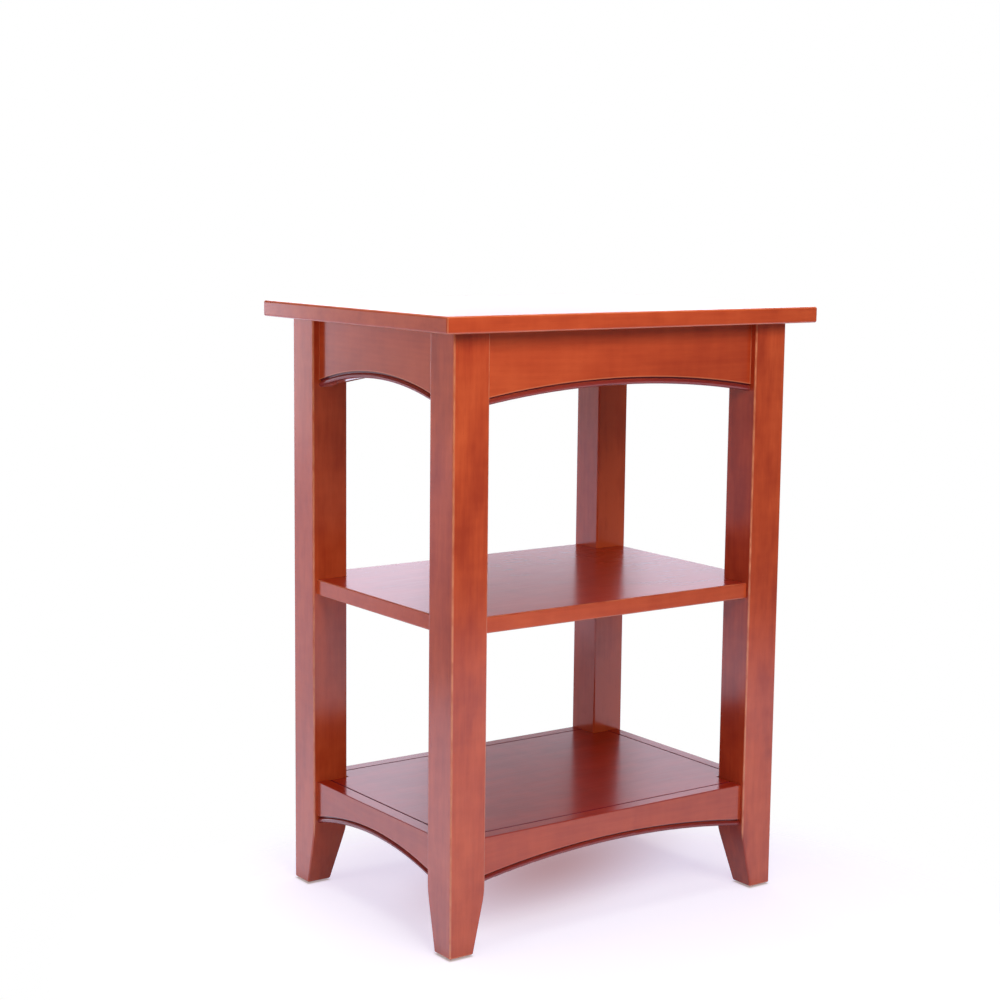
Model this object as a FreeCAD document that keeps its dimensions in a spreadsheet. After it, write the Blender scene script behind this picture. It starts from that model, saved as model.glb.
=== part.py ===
"""End table with two shelves, in millimetres.

Square tapered legs carry a plain top on arched and beaded aprons, a notched middle shelf, and a lower shelf
whose panel is let in flush between arched and beaded rails. Width runs along X, the front faces -Y, and the
origin is on the floor below the middle of the table.
"""
import FreeCAD
import Part
import os
import re
import Sketcher

SIZES = {
    # Table top
    "top_width": 508,
    "top_depth": 381,
    "top_thick": 18,
    "top_edge_radius": 2.5,
    "overall_height": 686,
    "overhang": 25,
    # Legs
    "leg_side": 45,
    "leg_edge_radius": 2,
    "foot_side": 30.5,
    "taper_height": 66,
    "taper_bend_radius": 90,
    "foot_chamfer": 1,
    "leg_flat_depth": 5,
    "leg_flat_margin": 2,
    # Foot glides
    "glide_height": 2,
    "glide_diameter": 19,
    "glide_rim_chamfer": 0.8,
    "nail_diameter": 2.2,
    "nail_length": 13,
    # Aprons and lower rails
    "apron_set_back": 8,
    "rail_thick": 16,
    "rail_edge_radius": 0.8,
    "apron_depth": 78,
    "front_apron_rise": 15,
    "side_apron_rise": 18,
    "lower_rail_top": 127.5,
    "lower_rail_depth": 50,
    "front_rail_rise": 15.5,
    "side_rail_rise": 17,
    "bead_width": 6,
    "groove_width": 1.8,
    # Shelves, with the set back of the middle shelf and of the rails round the lower one
    "shelf_set_back": 5,
    "shelf_top": 368,
    "shelf_thick": 18,
    "shelf_edge_radius": 1.5,
    "notch_gap": 0.2,
    "panel_thick": 12,
    "panel_gap": 1.2,
    "panel_edge_radius": 0.6,
    # Corner blocks and cleats
    "block_thick": 20,
    "draw_gap": 2.5,
    "wing_tip": 8,
    "wing_seat": 9,
    "wing_screw_inset": 6,
    "upper_block_height": 32,
    "lower_block_height": 25,
    "cleat_side": 14,
    "cleat_end_gap": 1,
    # Cam fittings that draw the middle shelf against the legs
    "cam_reach": 24,
    "cam_diameter": 15,
    "cam_slot_width": 1.6,
    "cam_slot_depth": 2,
    "cam_post_diameter": 6,
    "cam_post_bite": 12,
    "cam_neck_diameter": 5,
    "cam_head_diameter": 7,
    "cam_head_length": 4,
    # Dowels
    "dowel_diameter": 8,
    "dowel_length": 36,
    "dowel_chamfer": 1,
    "apron_dowel_drop": 31,
    "apron_dowel_spacing": 28,
    "rail_dowel_drop": 10,
    "rail_dowel_spacing": 28,
    # Bolts, nuts and screws
    "bolt_diameter": 6,
    "bolt_bite": 25,
    "bolt_tail": 3,
    "bolt_chamfer": 0.8,
    "washer_diameter": 16,
    "washer_thick": 1.5,
    "nut_flats": 10,
    "nut_thick": 5,
    "screw_diameter": 4,
    "screw_head_diameter": 8,
    "screw_head_thick": 2.6,
    "head_clearance": 0.5,
    "top_screw_spread": 18,
    "top_screw_bite": 11,
    "wing_screw_bite": 9,
    "cleat_screw_bite": 9,
    # Clearance round every pin, bolt and screw, and room past its end
    "hole_clearance": 0.1,
    "hole_end_gap": 1,
}

DERIVED = {
    "frame_width": "(top_width - 2 * overhang)",
    "frame_depth": "(top_depth - 2 * overhang)",
    "frame_top": "(overall_height - top_thick)",
    "leg_length": "(frame_top - glide_height)",
    "front_span": "(frame_width - 2 * leg_side)",
    "side_span": "(frame_depth - 2 * leg_side)",
    "upper_inner": "(apron_set_back + rail_thick)",
    "lower_inner": "(shelf_set_back + rail_thick)",
    "shelf_bottom": "(shelf_top - shelf_thick)",
    "panel_bottom": "(lower_rail_top - panel_thick)",
    "groove_depth": "(bead_width / 2)",
    # Distances x + y from the outer corner of a leg, along its diagonal
    "flat_sum": "(2 * leg_side - sqrt(2) * leg_flat_depth)",
    "block_near": "(flat_sum + sqrt(2) * draw_gap)",
    "block_far": "(block_near + sqrt(2) * block_thick)",
    "upper_wing_end": "(block_far - upper_inner - wing_tip)",
    "lower_wing_end": "(block_far - lower_inner - wing_tip)",
    "upper_wing_screw": "(upper_wing_end - wing_screw_inset)",
    "lower_wing_screw": "(lower_wing_end - wing_screw_inset)",
    "top_screw_near": "((block_near + block_far) / 4 - top_screw_spread / sqrt(2))",
    "top_screw_far": "((block_near + block_far) / 4 + top_screw_spread / sqrt(2))",
    "upper_block_bottom": "(frame_top - upper_block_height)",
    "lower_block_bottom": "(panel_bottom - lower_block_height)",
    "shelf_middle": "(shelf_top - shelf_thick / 2)",
    "cam_line": "(shelf_set_back + (leg_side - shelf_set_back) / 3)",
    "shelf_dowel_line": "(shelf_set_back + (leg_side - shelf_set_back) * 7 / 9)",
    "cam_depth": "(shelf_thick * 3 / 4)",
    "cam_bore": "(cam_head_diameter + 2 * hole_clearance)",
    "cleat_start": "(lower_wing_end + cleat_end_gap)",
    "front_cleat_length": "(frame_width - 2 * cleat_start)",
    "side_cleat_length": "(frame_depth - 2 * cleat_start)",
    "screw_hole": "(screw_diameter + 2 * hole_clearance)",
    "head_hole": "(screw_head_diameter + 2 * head_clearance)",
    "dowel_hole": "(dowel_diameter + 2 * hole_clearance)",
    "dowel_hole_depth": "(dowel_length / 2 + hole_end_gap)",
    "bolt_hole": "(bolt_diameter + 2 * hole_clearance)",
}

# Each corner in its order round the table, with the inner face of its leg that meets the shelf's fittings
CORNERS = [("front_left", "x"), ("front_right", "y"), ("back_right", "x"), ("back_left", "y")]
QUARTER_TURNS = range(len(CORNERS))
SIDES = ["front", "right", "back", "left"]

UP = FreeCAD.Vector(0, 0, 1)
DIAGONAL = FreeCAD.Vector(1, 1, 0)
NO_TURN = FreeCAD.Rotation()

doc = FreeCAD.newDocument("EndTable")
sheet = doc.addObject("Spreadsheet::Sheet", "Sizes")
for row, (alias, size) in enumerate(SIZES.items(), 1):
    sheet.set(f"A{row}", alias)
    sheet.set(f"B{row}", str(size))
    sheet.setAlias(f"B{row}", alias)
doc.recompute()

sub_parts = []


def full(text):
    """Return an expression with every size name written as a cell of the sheet."""
    def swap(match):
        word = match.group(0)
        if word in DERIVED:
            return full(DERIVED[word])
        if word in SIZES:
            return "Sizes." + word
        return word
    return re.sub(r"[a-z][a-z_]+", swap, text)


def number(text):
    """Return the present value of an expression."""
    return float(sheet.evalExpression(full(text)))


def bind(item, target, text):
    """Tie one property or constraint to the sheet."""
    item.setExpression(target, full(text))


def new_body(label):
    """Start a body that becomes the sub-part of that name."""
    body = doc.addObject("PartDesign::Body", label)
    body.Label = label
    return body


def place(item, x, y, z, turn=NO_TURN):
    """Turn an object and tie its position to the sheet."""
    item.Placement = FreeCAD.Placement(FreeCAD.Vector(), turn)
    for axis, text in zip("xyz", (x, y, z)):
        bind(item, f"Placement.Base.{axis}", text)


def quarter_turn(count):
    """Return a rotation of so many quarter turns about Z."""
    return FreeCAD.Rotation(UP, 90 * count)


def corner_point(turns, along_x, along_y):
    """Return the X and Y expressions of a point measured inwards from the outer corner of a leg."""
    half_width = "frame_width / 2"
    half_depth = "frame_depth / 2"
    return [
        (f"-{half_width} + ({along_x})", f"-{half_depth} + ({along_y})"),
        (f"{half_width} - ({along_y})", f"-{half_depth} + ({along_x})"),
        (f"{half_width} - ({along_x})", f"{half_depth} - ({along_y})"),
        (f"-{half_width} + ({along_y})", f"{half_depth} - ({along_x})"),
    ][turns]


def place_in_corner(item, turns, along_x, along_y, z, turn=NO_TURN):
    """Place an object by its distances from the outer corner of one leg."""
    x, y = corner_point(turns, along_x, along_y)
    place(item, x, y, z, quarter_turn(turns).multiply(turn))


def place_on_side(item, turns, inset, z):
    """Place an object in the middle of the front, right, back or left side of the frame."""
    x, y = [
        ("0", f"-frame_depth / 2 + ({inset})"),
        (f"frame_width / 2 - ({inset})", "0"),
        ("0", f"frame_depth / 2 - ({inset})"),
        (f"-frame_width / 2 + ({inset})", "0"),
    ][turns]
    place(item, x, y, z, quarter_turn(turns))


def origin_plane(body, role):
    """Return one of a body's own origin planes."""
    return next(item for item in body.Origin.OriginFeatures if item.Role == role)


def new_sketch(body, role, offset="0"):
    """Attach a sketch to a body's origin plane, moved along the plane's normal."""
    sketch = body.newObject("Sketcher::SketchObject", "Sketch")
    sketch.AttachmentSupport = (origin_plane(body, role), [""])
    sketch.MapMode = "FlatFace"
    bind(sketch, "AttachmentOffset.Base.z", offset)
    return sketch


def dimension(sketch, kind, geometry, text):
    """Add one named dimension to a sketch and tie it to the sheet."""
    index = sketch.addConstraint(Sketcher.Constraint(kind, *geometry, number(text)))
    name = f"size{index}"
    sketch.renameConstraint(index, name)
    bind(sketch, f"Constraints.{name}", text)


def pin_point(sketch, geometry, point, x, y):
    """Fix a point of a sketch by its two coordinates."""
    dimension(sketch, "DistanceX", (geometry, point), x)
    dimension(sketch, "DistanceY", (geometry, point), y)


def join(sketch, *ends):
    """Join pairs of sketch points, each given as geometry, point, geometry, point."""
    for end in ends:
        sketch.addConstraint(Sketcher.Constraint("Coincident", *end))


def flat_point(x, y):
    """Return a sketch point at the present values of two expressions."""
    return FreeCAD.Vector(number(x), number(y), 0)


def polygon(sketch, corners):
    """Draw a closed polygon whose corners follow the sheet."""
    first = sketch.GeometryCount
    count = len(corners)
    for index, corner in enumerate(corners):
        following = corners[(index + 1) % count]
        sketch.addGeometry(Part.LineSegment(flat_point(*corner), flat_point(*following)), False)
    for index, corner in enumerate(corners):
        join(sketch, (first + index, 2, first + (index + 1) % count, 1))
        pin_point(sketch, first + index, 1, *corner)


def circles(sketch, centres, diameter):
    """Draw equal circles whose centres and diameter follow the sheet."""
    for x, y in centres:
        circle = Part.Circle(flat_point(x, y), UP, number(diameter) / 2)
        index = sketch.addGeometry(circle, False)
        pin_point(sketch, index, 3, x, y)
        dimension(sketch, "Diameter", (index,), diameter)


def pad(body, sketch, length, back=False, both_ways=False):
    """Pad a sketch; back pads against the sketch's normal."""
    feature = body.newObject("PartDesign::Pad", "Pad")
    feature.Profile = sketch
    feature.Reversed = back
    feature.Midplane = both_ways
    bind(feature, "Length", length)
    doc.recompute()
    return feature


def pocket(body, sketch, depth=None, ahead=False):
    """Cut a sketch into the body, right through without a depth; ahead cuts along the sketch's normal."""
    before = body.Shape.Volume
    feature = body.newObject("PartDesign::Pocket", "Pocket")
    feature.Profile = sketch
    feature.Reversed = ahead
    if depth is None:
        feature.Type = "ThroughAll"
    else:
        bind(feature, "Length", depth)
    doc.recompute()
    if body.Shape.Volume > before - 0.01:
        raise RuntimeError(f"{body.Label}: a pocket cuts nothing")
    return feature


def mirror_across(body, features):
    """Repeat cuts on the other side of a body's YZ plane."""
    before = body.Shape.Volume
    mirror = body.newObject("PartDesign::Mirrored", "Mirrored")
    mirror.Originals = features
    mirror.MirrorPlane = (origin_plane(body, "YZ_Plane"), [""])
    body.Tip = mirror
    doc.recompute()
    if body.Shape.Volume > before - 0.01:
        raise RuntimeError(f"{body.Label}: a mirrored cut cuts nothing")


def bore(body, centre, turn, diameter, depth):
    """Cut a round hole from a centre along the direction that a rotation gives to Z."""
    before = body.Shape.Volume
    feature = body.newObject("PartDesign::SubtractiveCylinder", "Bore")
    bind(feature, "Radius", f"({diameter}) / 2")
    bind(feature, "Height", depth)
    place(feature, *centre, turn)
    doc.recompute()
    if body.Shape.Volume > before - 0.01:
        raise RuntimeError(f"{body.Label}: a bore cuts nothing")


def edges_where(shape, test):
    """Return the names of a shape's edges that pass a test."""
    return [f"Edge{index}" for index, edge in enumerate(shape.Edges, 1) if test(edge)]


def ease(body, test, size, kind="Fillet"):
    """Fillet or chamfer the edges of a body that pass a test."""
    base = body.Tip
    feature = body.newObject(f"PartDesign::{kind}", kind)
    feature.Base = (base, edges_where(base.Shape, test))
    bind(feature, "Radius" if kind == "Fillet" else "Size", size)
    doc.recompute()


def edge_lies(edge, axis, level):
    """Tell whether an edge lies wholly at one level of an axis."""
    box = edge.BoundBox
    low = getattr(box, axis + "Min")
    high = getattr(box, axis + "Max")
    return abs(low - level) < 1e-4 and abs(high - level) < 1e-4


def rises(edge):
    """Tell whether an edge climbs along Z."""
    return edge.BoundBox.ZLength > 0.5


def revolve(body, corners):
    """Turn a half profile of radius and height about Z."""
    sketch = new_sketch(body, "XZ_Plane")
    polygon(sketch, corners)
    feature = body.newObject("PartDesign::Revolution", "Revolution")
    feature.Profile = sketch
    feature.ReferenceAxis = (sketch, ["V_Axis"])
    feature.Angle = 360
    doc.recompute()


def group(label, pattern, spots):
    """Collect copies of one fastener; each spot is a function that places its copy."""
    copies = []
    for spot in spots:
        copy = doc.addObject("App::Link", label + "_copy")
        copy.LinkedObject = pattern
        spot(copy)
        copies.append(copy)
    compound = doc.addObject("Part::Compound", label)
    compound.Label = label
    compound.Links = copies
    sub_parts.append(compound)


def table_top():
    """Make the slab, its edges eased all round, with pilot holes for the top screws."""
    body = new_body("table_top")
    sketch = new_sketch(body, "XY_Plane")
    polygon(sketch, [
        ("-top_width / 2", "-top_depth / 2"),
        ("top_width / 2", "-top_depth / 2"),
        ("top_width / 2", "top_depth / 2"),
        ("-top_width / 2", "top_depth / 2"),
    ])
    pad(body, sketch, "top_thick")
    ease(body, lambda edge: True, "top_edge_radius")
    pilots = new_sketch(body, "XY_Plane")
    centres = []
    for turns in QUARTER_TURNS:
        centres.append(corner_point(turns, "top_screw_near", "top_screw_far"))
        centres.append(corner_point(turns, "top_screw_far", "top_screw_near"))
    circles(pilots, centres, "screw_hole")
    pocket(body, pilots, "top_screw_bite + hole_end_gap", ahead=True)
    place(body, "0", "0", "frame_top")
    sub_parts.append(body)


def leg(corner, turns, shelf_face):
    """Make a leg in the frame of its outer corner, with its inner faces towards +X and +Y."""
    body = new_body(f"leg_{corner}")
    section = new_sketch(body, "XY_Plane")
    polygon(section, [("0", "0"), ("leg_side", "0"), ("leg_side", "leg_side"), ("0", "leg_side")])
    pad(body, section, "leg_length")
    wedge = [("foot_side", "0"), ("leg_side + 1", "0"), ("leg_side + 1", "taper_height"),
             ("leg_side", "taper_height")]
    side_cut = new_sketch(body, "XZ_Plane")
    polygon(side_cut, wedge)
    pocket(body, side_cut)
    front_cut = new_sketch(body, "YZ_Plane")
    polygon(front_cut, wedge)
    pocket(body, front_cut, ahead=True)
    bend = number("taper_height")
    ease(body, lambda edge: edge_lies(edge, "Z", bend), "taper_bend_radius")
    ease(body, rises, "leg_edge_radius")
    ease(body, lambda edge: edge_lies(edge, "Z", 0), "foot_chamfer", "Chamfer")

    # Flats on the inner arris, where the corner blocks draw the leg in
    corner_cut = [("leg_side + 1", "flat_sum - leg_side - 1"), ("leg_side + 1", "leg_side + 1"),
                  ("flat_sum - leg_side - 1", "leg_side + 1")]
    for bottom, height in (("upper_block_bottom", "upper_block_height"),
                           ("lower_block_bottom", "lower_block_height")):
        flat = new_sketch(body, "XY_Plane", f"{bottom} - leg_flat_margin - glide_height")
        polygon(flat, corner_cut)
        pocket(body, flat, f"{height} + 2 * leg_flat_margin", ahead=True)
        bore(body, ("flat_sum / 2", "flat_sum / 2", f"{bottom} + {height} / 2 - glide_height"),
             FreeCAD.Rotation(UP, -DIAGONAL), "bolt_hole", "bolt_bite + hole_end_gap")

    # Dowel holes for the apron and the lower rail in both inner faces
    apron_middle = "apron_set_back + rail_thick / 2"
    rail_middle = "shelf_set_back + rail_thick / 2"
    apron_dowel = "leg_length - apron_dowel_drop"
    rail_dowel = "lower_rail_top - glide_height - rail_dowel_drop"
    centres = [
        (apron_middle, apron_dowel),
        (apron_middle, f"{apron_dowel} - apron_dowel_spacing"),
        (rail_middle, rail_dowel),
        (rail_middle, f"{rail_dowel} - rail_dowel_spacing"),
    ]
    x_face = new_sketch(body, "YZ_Plane", "leg_side")
    circles(x_face, centres, "dowel_hole")
    pocket(body, x_face, "dowel_hole_depth")
    y_face = new_sketch(body, "XZ_Plane", "-leg_side")
    circles(y_face, centres, "dowel_hole")
    pocket(body, y_face, "dowel_hole_depth", ahead=True)

    # Holes for the cam post and the dowel of the middle shelf
    for line, diameter, depth in (
        ("cam_line", "cam_post_diameter + 2 * hole_clearance", "cam_post_bite + hole_end_gap"),
        ("shelf_dowel_line", "dowel_hole", "dowel_hole_depth"),
    ):
        if shelf_face == "x":
            shelf_hole = new_sketch(body, "YZ_Plane", "leg_side")
        else:
            shelf_hole = new_sketch(body, "XZ_Plane", "-leg_side")
        circles(shelf_hole, [(line, "shelf_middle - glide_height")], diameter)
        pocket(body, shelf_hole, depth, ahead=shelf_face == "y")

    nail = new_sketch(body, "XY_Plane")
    circles(nail, [("foot_side / 2", "foot_side / 2")], "nail_diameter + 2 * hole_clearance")
    pocket(body, nail, "nail_length + hole_end_gap", ahead=True)
    place_in_corner(body, turns, "0", "0", "glide_height")
    sub_parts.append(body)


def arc_between(sketch, radius, centre, half_span):
    """Draw an arc over the middle of a sketch, from its right end to its left end."""
    middle = flat_point("0", centre)
    reach = number(half_span)
    climb = (number(radius) ** 2 - reach ** 2) ** 0.5
    ends = (FreeCAD.Vector(reach, middle.y + climb, 0), FreeCAD.Vector(-reach, middle.y + climb, 0))
    crown = FreeCAD.Vector(0, middle.y + number(radius), 0)
    index = sketch.addGeometry(Part.Arc(ends[0], crown, ends[1]), False)
    dimension(sketch, "Radius", (index,), radius)
    return index


def arched_rail(label, span, depth, rise, dowel_drop, dowel_spacing, pilots):
    """Make an apron or rail with an arched lower edge, a quirk groove and a bead.

    The outer face looks towards -Y at y = 0 and the top edge is at z = 0. Pilots are the X and Z places of
    the screws in the inner face.
    """
    body = new_body(label)
    half = f"({span}) / 2"
    radius = f"(({span}) ^ 2 / 4 + ({rise}) ^ 2) / (2 * ({rise}))"
    centre = f"({rise}) - ({depth}) - {radius}"
    outline = new_sketch(body, "XZ_Plane")
    corners = [(f"-{half}", "0"), (half, "0"), (half, f"-({depth})"), (f"-{half}", f"-({depth})")]
    for start, end in ((0, 1), (1, 2), (3, 0)):
        outline.addGeometry(Part.LineSegment(flat_point(*corners[start]), flat_point(*corners[end])), False)
    arch = arc_between(outline, radius, centre, half)
    join(outline, (0, 2, 1, 1), (1, 2, arch, 1), (arch, 2, 2, 1), (2, 2, 0, 1))
    for geometry, corner in ((0, corners[0]), (1, corners[1]), (2, corners[3])):
        pin_point(outline, geometry, 1, *corner)
    pin_point(outline, 1, 2, *corners[2])
    pad(body, outline, "rail_thick", back=True)

    # The quirk groove runs a bead's width above the arch and past both ends
    quirk = new_sketch(body, "XZ_Plane")
    past_end = f"{half} + 1"
    arcs = []
    for arc_radius in (f"{radius} + bead_width", f"{radius} + bead_width + groove_width"):
        arc = arc_between(quirk, arc_radius, centre, past_end)
        pin_point(quirk, arc, 3, "0", centre)
        arcs.append(arc)
    low, high = arcs
    right, left = (
        quirk.addGeometry(Part.LineSegment(quirk.getPoint(low, end), quirk.getPoint(high, end)), False)
        for end in (1, 2)
    )
    join(quirk, (right, 1, low, 1), (right, 2, high, 1), (left, 1, low, 2), (left, 2, high, 2))
    for line, place_x in ((right, past_end), (left, f"-({past_end})")):
        quirk.addConstraint(Sketcher.Constraint("Vertical", line))
        dimension(quirk, "DistanceX", (line, 1), place_x)
    pocket(body, quirk, "groove_depth")
    bead_arcs = (number(radius), number(f"{radius} + bead_width"))

    def on_bead(edge):
        if not edge_lies(edge, "Y", 0) or not isinstance(edge.Curve, Part.Circle):
            return False
        return any(abs(edge.Curve.Radius - arc_radius) < 0.01 for arc_radius in bead_arcs)

    ease(body, on_bead, "bead_width * 0.48")
    ease(body, lambda edge: edge_lies(edge, "Z", 0) and edge.BoundBox.XLength > 1, "rail_edge_radius")

    end_face = new_sketch(body, "YZ_Plane", half)
    circles(end_face, [("rail_thick / 2", f"-{dowel_drop}"),
                       ("rail_thick / 2", f"-{dowel_drop} - {dowel_spacing}")], "dowel_hole")
    mirror_across(body, [pocket(body, end_face, "dowel_hole_depth")])
    for bite, centres in pilots:
        inner_face = new_sketch(body, "XZ_Plane", "-rail_thick")
        circles(inner_face, centres, "screw_hole")
        pocket(body, inner_face, f"{bite} + hole_end_gap", ahead=True)
    sub_parts.append(body)
    return body


def kind_of(side):
    """Return which of the two lengths of rail a side of the table has."""
    return "front" if side in ("front", "back") else "side"


def cleat_screw_places(kind):
    """Return the X places of a cleat's screws, spread evenly over most of its length."""
    count = 3 if kind == "front" else 2
    return [f"{kind}_cleat_length * {0.8 * (index / (count - 1) - 0.5)}" for index in range(count)]


def aprons_and_rails():
    """Make the four aprons under the top and the four rails round the lower shelf."""
    for turns, side in enumerate(SIDES):
        kind = kind_of(side)
        span = f"{kind}_span"
        outside = f"(({span}) / 2 + leg_side)"
        apron_wings = [f"{outside} - upper_wing_screw", f"upper_wing_screw - {outside}"]
        rail_wings = [f"{outside} - lower_wing_screw", f"lower_wing_screw - {outside}"]
        apron_pilots = [("wing_screw_bite", [(x, "-upper_block_height / 2") for x in apron_wings])]
        apron = arched_rail(f"apron_{side}", span, "apron_depth", f"{kind}_apron_rise",
                            "apron_dowel_drop", "apron_dowel_spacing", apron_pilots)
        place_on_side(apron, turns, "apron_set_back", "frame_top")
        cleat_x = cleat_screw_places(kind)
        rail_pilots = [
            ("wing_screw_bite", [(x, "-panel_thick - lower_block_height / 2") for x in rail_wings]),
            ("cleat_screw_bite", [(x, "-panel_thick - cleat_side / 2") for x in cleat_x]),
        ]
        rail = arched_rail(f"lower_rail_{side}", span, "lower_rail_depth", f"{kind}_rail_rise",
                           "rail_dowel_drop", "rail_dowel_spacing", rail_pilots)
        place_on_side(rail, turns, "shelf_set_back", "lower_rail_top")


def notched_outline(inset, notch):
    """Return the corners of a board inset from the frame, with notches round the legs."""
    edge_x = f"(frame_width / 2 - ({inset}))"
    edge_y = f"(frame_depth / 2 - ({inset}))"
    notch_x = f"(frame_width / 2 - leg_side - {notch})"
    notch_y = f"(frame_depth / 2 - leg_side - {notch})"
    quarter = [(edge_x, notch_y), (notch_x, notch_y), (notch_x, edge_y)]
    right_back = quarter
    left_back = [("-" + x, y) for x, y in reversed(quarter)]
    left_front = [("-" + x, "-" + y) for x, y in quarter]
    right_front = [(x, "-" + y) for x, y in reversed(quarter)]
    return right_back + left_back + left_front + right_front


def middle_shelf():
    """Make the middle shelf with eased edges, cam pockets below and post and dowel holes in its notches."""
    body = new_body("middle_shelf")
    sketch = new_sketch(body, "XY_Plane")
    polygon(sketch, notched_outline("shelf_set_back", "notch_gap"))
    pad(body, sketch, "shelf_thick")
    edge_x = number("frame_width / 2 - shelf_set_back")
    edge_y = number("frame_depth / 2 - shelf_set_back")

    def exposed(edge):
        return any(edge_lies(edge, axis, level) and not rises(edge)
                   for axis, level in (("X", edge_x), ("X", -edge_x), ("Y", edge_y), ("Y", -edge_y)))

    ease(body, exposed, "shelf_edge_radius")
    cam_pockets = new_sketch(body, "XY_Plane")
    hole_x = "(frame_width / 2 - leg_side - cam_reach)"
    hole_y = "(frame_depth / 2 - cam_line)"
    circles(cam_pockets, [(hole_x, hole_y), ("-" + hole_x, hole_y), ("-" + hole_x, "-" + hole_y),
                          (hole_x, "-" + hole_y)], "cam_diameter + 2 * hole_clearance")
    pocket(body, cam_pockets, "cam_depth + hole_clearance", ahead=True)
    notch_holes = []
    for line, diameter, depth in (
        ("cam_line", "cam_bore", "cam_reach"),
        ("shelf_dowel_line", "dowel_hole", "dowel_hole_depth"),
    ):
        notch = new_sketch(body, "YZ_Plane", "frame_width / 2 - leg_side - notch_gap")
        edge_place = f"(frame_depth / 2 - {line})"
        circles(notch, [(edge_place, "shelf_thick / 2"), ("-" + edge_place, "shelf_thick / 2")], diameter)
        notch_holes.append(pocket(body, notch, f"{depth} - notch_gap"))
    mirror_across(body, notch_holes)
    place(body, "0", "0", "shelf_bottom")
    sub_parts.append(body)


def lower_shelf_panel():
    """Make the panel that lies flush between the lower rails with a shadow gap all round."""
    body = new_body("lower_shelf_panel")
    sketch = new_sketch(body, "XY_Plane")
    polygon(sketch, notched_outline("lower_inner + panel_gap", "panel_gap"))
    pad(body, sketch, "panel_thick")
    top = number("panel_thick")
    ease(body, lambda edge: edge_lies(edge, "Z", top), "panel_edge_radius", "Chamfer")
    place(body, "0", "0", "panel_bottom")
    sub_parts.append(body)


def corner_block(level, corner, turns):
    """Make the upper or lower corner block across two rails, in the frame of the leg's outer corner."""
    body = new_body(f"{level}_corner_block_{corner}")
    sketch = new_sketch(body, "XY_Plane")
    inner = f"{level}_inner"
    tip = f"{inner} + wing_tip"
    end = f"{level}_wing_end"
    screw_place = f"{level}_wing_screw"
    height = f"{level}_block_height"
    polygon(sketch, [
        (f"block_near - {inner}", inner),
        (end, inner),
        (end, tip),
        (tip, end),
        (inner, end),
        (inner, f"block_near - {inner}"),
    ])
    pad(body, sketch, height)
    middle = f"{height} / 2"
    bore(body, ("block_near / 2 - 1", "block_near / 2 - 1", middle), FreeCAD.Rotation(UP, DIAGONAL),
         "bolt_hole", "block_thick + 4")
    for start, diameter in ((inner, "screw_hole"), (f"{inner} + wing_seat", "head_hole")):
        along_y = new_sketch(body, "XZ_Plane", f"-({start})")
        circles(along_y, [(screw_place, middle)], diameter)
        pocket(body, along_y)
        along_x = new_sketch(body, "YZ_Plane", start)
        circles(along_x, [(screw_place, middle)], diameter)
        pocket(body, along_x, ahead=True)
    if level == "upper":
        upright = new_sketch(body, "XY_Plane")
        circles(upright, [("top_screw_near", "top_screw_far"), ("top_screw_far", "top_screw_near")],
                "screw_hole")
        pocket(body, upright, ahead=True)
    place_in_corner(body, turns, "0", "0", f"{level}_block_bottom")
    sub_parts.append(body)


def cleat(side, turns):
    """Make a cleat that carries one edge of the lower shelf panel."""
    body = new_body(f"panel_cleat_{side}")
    kind = kind_of(side)
    section = new_sketch(body, "YZ_Plane")
    polygon(section, [("0", "0"), ("cleat_side", "0"), ("cleat_side", "-cleat_side"), ("0", "-cleat_side")])
    pad(body, section, f"{kind}_cleat_length", both_ways=True)
    holes = new_sketch(body, "XZ_Plane")
    circles(holes, [(x, "-cleat_side / 2") for x in cleat_screw_places(kind)], "screw_hole")
    pocket(body, holes)
    place_on_side(body, turns, "lower_inner", "panel_bottom")
    sub_parts.append(body)


def foot_glide(corner, turns):
    """Make a nailed glide under a foot."""
    body = new_body(f"foot_glide_{corner}")
    radius = "glide_diameter / 2"
    nail = "nail_diameter / 2"
    tip = "glide_height + nail_length"
    revolve(body, [
        ("0", "0"),
        (f"{radius} - glide_rim_chamfer", "0"),
        (radius, "glide_rim_chamfer"),
        (radius, "glide_height"),
        (nail, "glide_height"),
        (nail, f"{tip} - nail_diameter"),
        ("0", tip),
    ])
    place_in_corner(body, turns, "foot_side / 2", "foot_side / 2", "0")
    sub_parts.append(body)


def pin_pattern(label, start, end, diameter, chamfer):
    """Make a round pin along Z with chamfered ends."""
    body = new_body(label)
    radius = f"{diameter} / 2"
    revolve(body, [
        ("0", start),
        (f"{radius} - {chamfer}", start),
        (radius, f"{start} + {chamfer}"),
        (radius, f"{end} - {chamfer}"),
        (f"{radius} - {chamfer}", end),
        ("0", end),
    ])
    return body


def screw_pattern(label, length):
    """Make a pan head wood screw whose head seats at z = 0 and whose point is towards +Z."""
    body = new_body(label)
    head = "screw_head_diameter / 2"
    shank = "screw_diameter / 2"
    revolve(body, [
        ("0", "-screw_head_thick"),
        (f"{head} * 0.6", "-screw_head_thick"),
        (f"{head} * 0.9", "-screw_head_thick * 0.7"),
        (head, "-screw_head_thick * 0.3"),
        (head, "0"),
        (shank, "0"),
        (shank, f"{length} - 1.5 * screw_diameter"),
        ("0", length),
    ])
    return body


def washer_pattern():
    """Make a flat washer that lies on z = 0."""
    body = new_body("washer_pattern")
    sketch = new_sketch(body, "XY_Plane")
    circles(sketch, [("0", "0")], "washer_diameter")
    circles(sketch, [("0", "0")], "bolt_hole")
    pad(body, sketch, "washer_thick")
    return body


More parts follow.
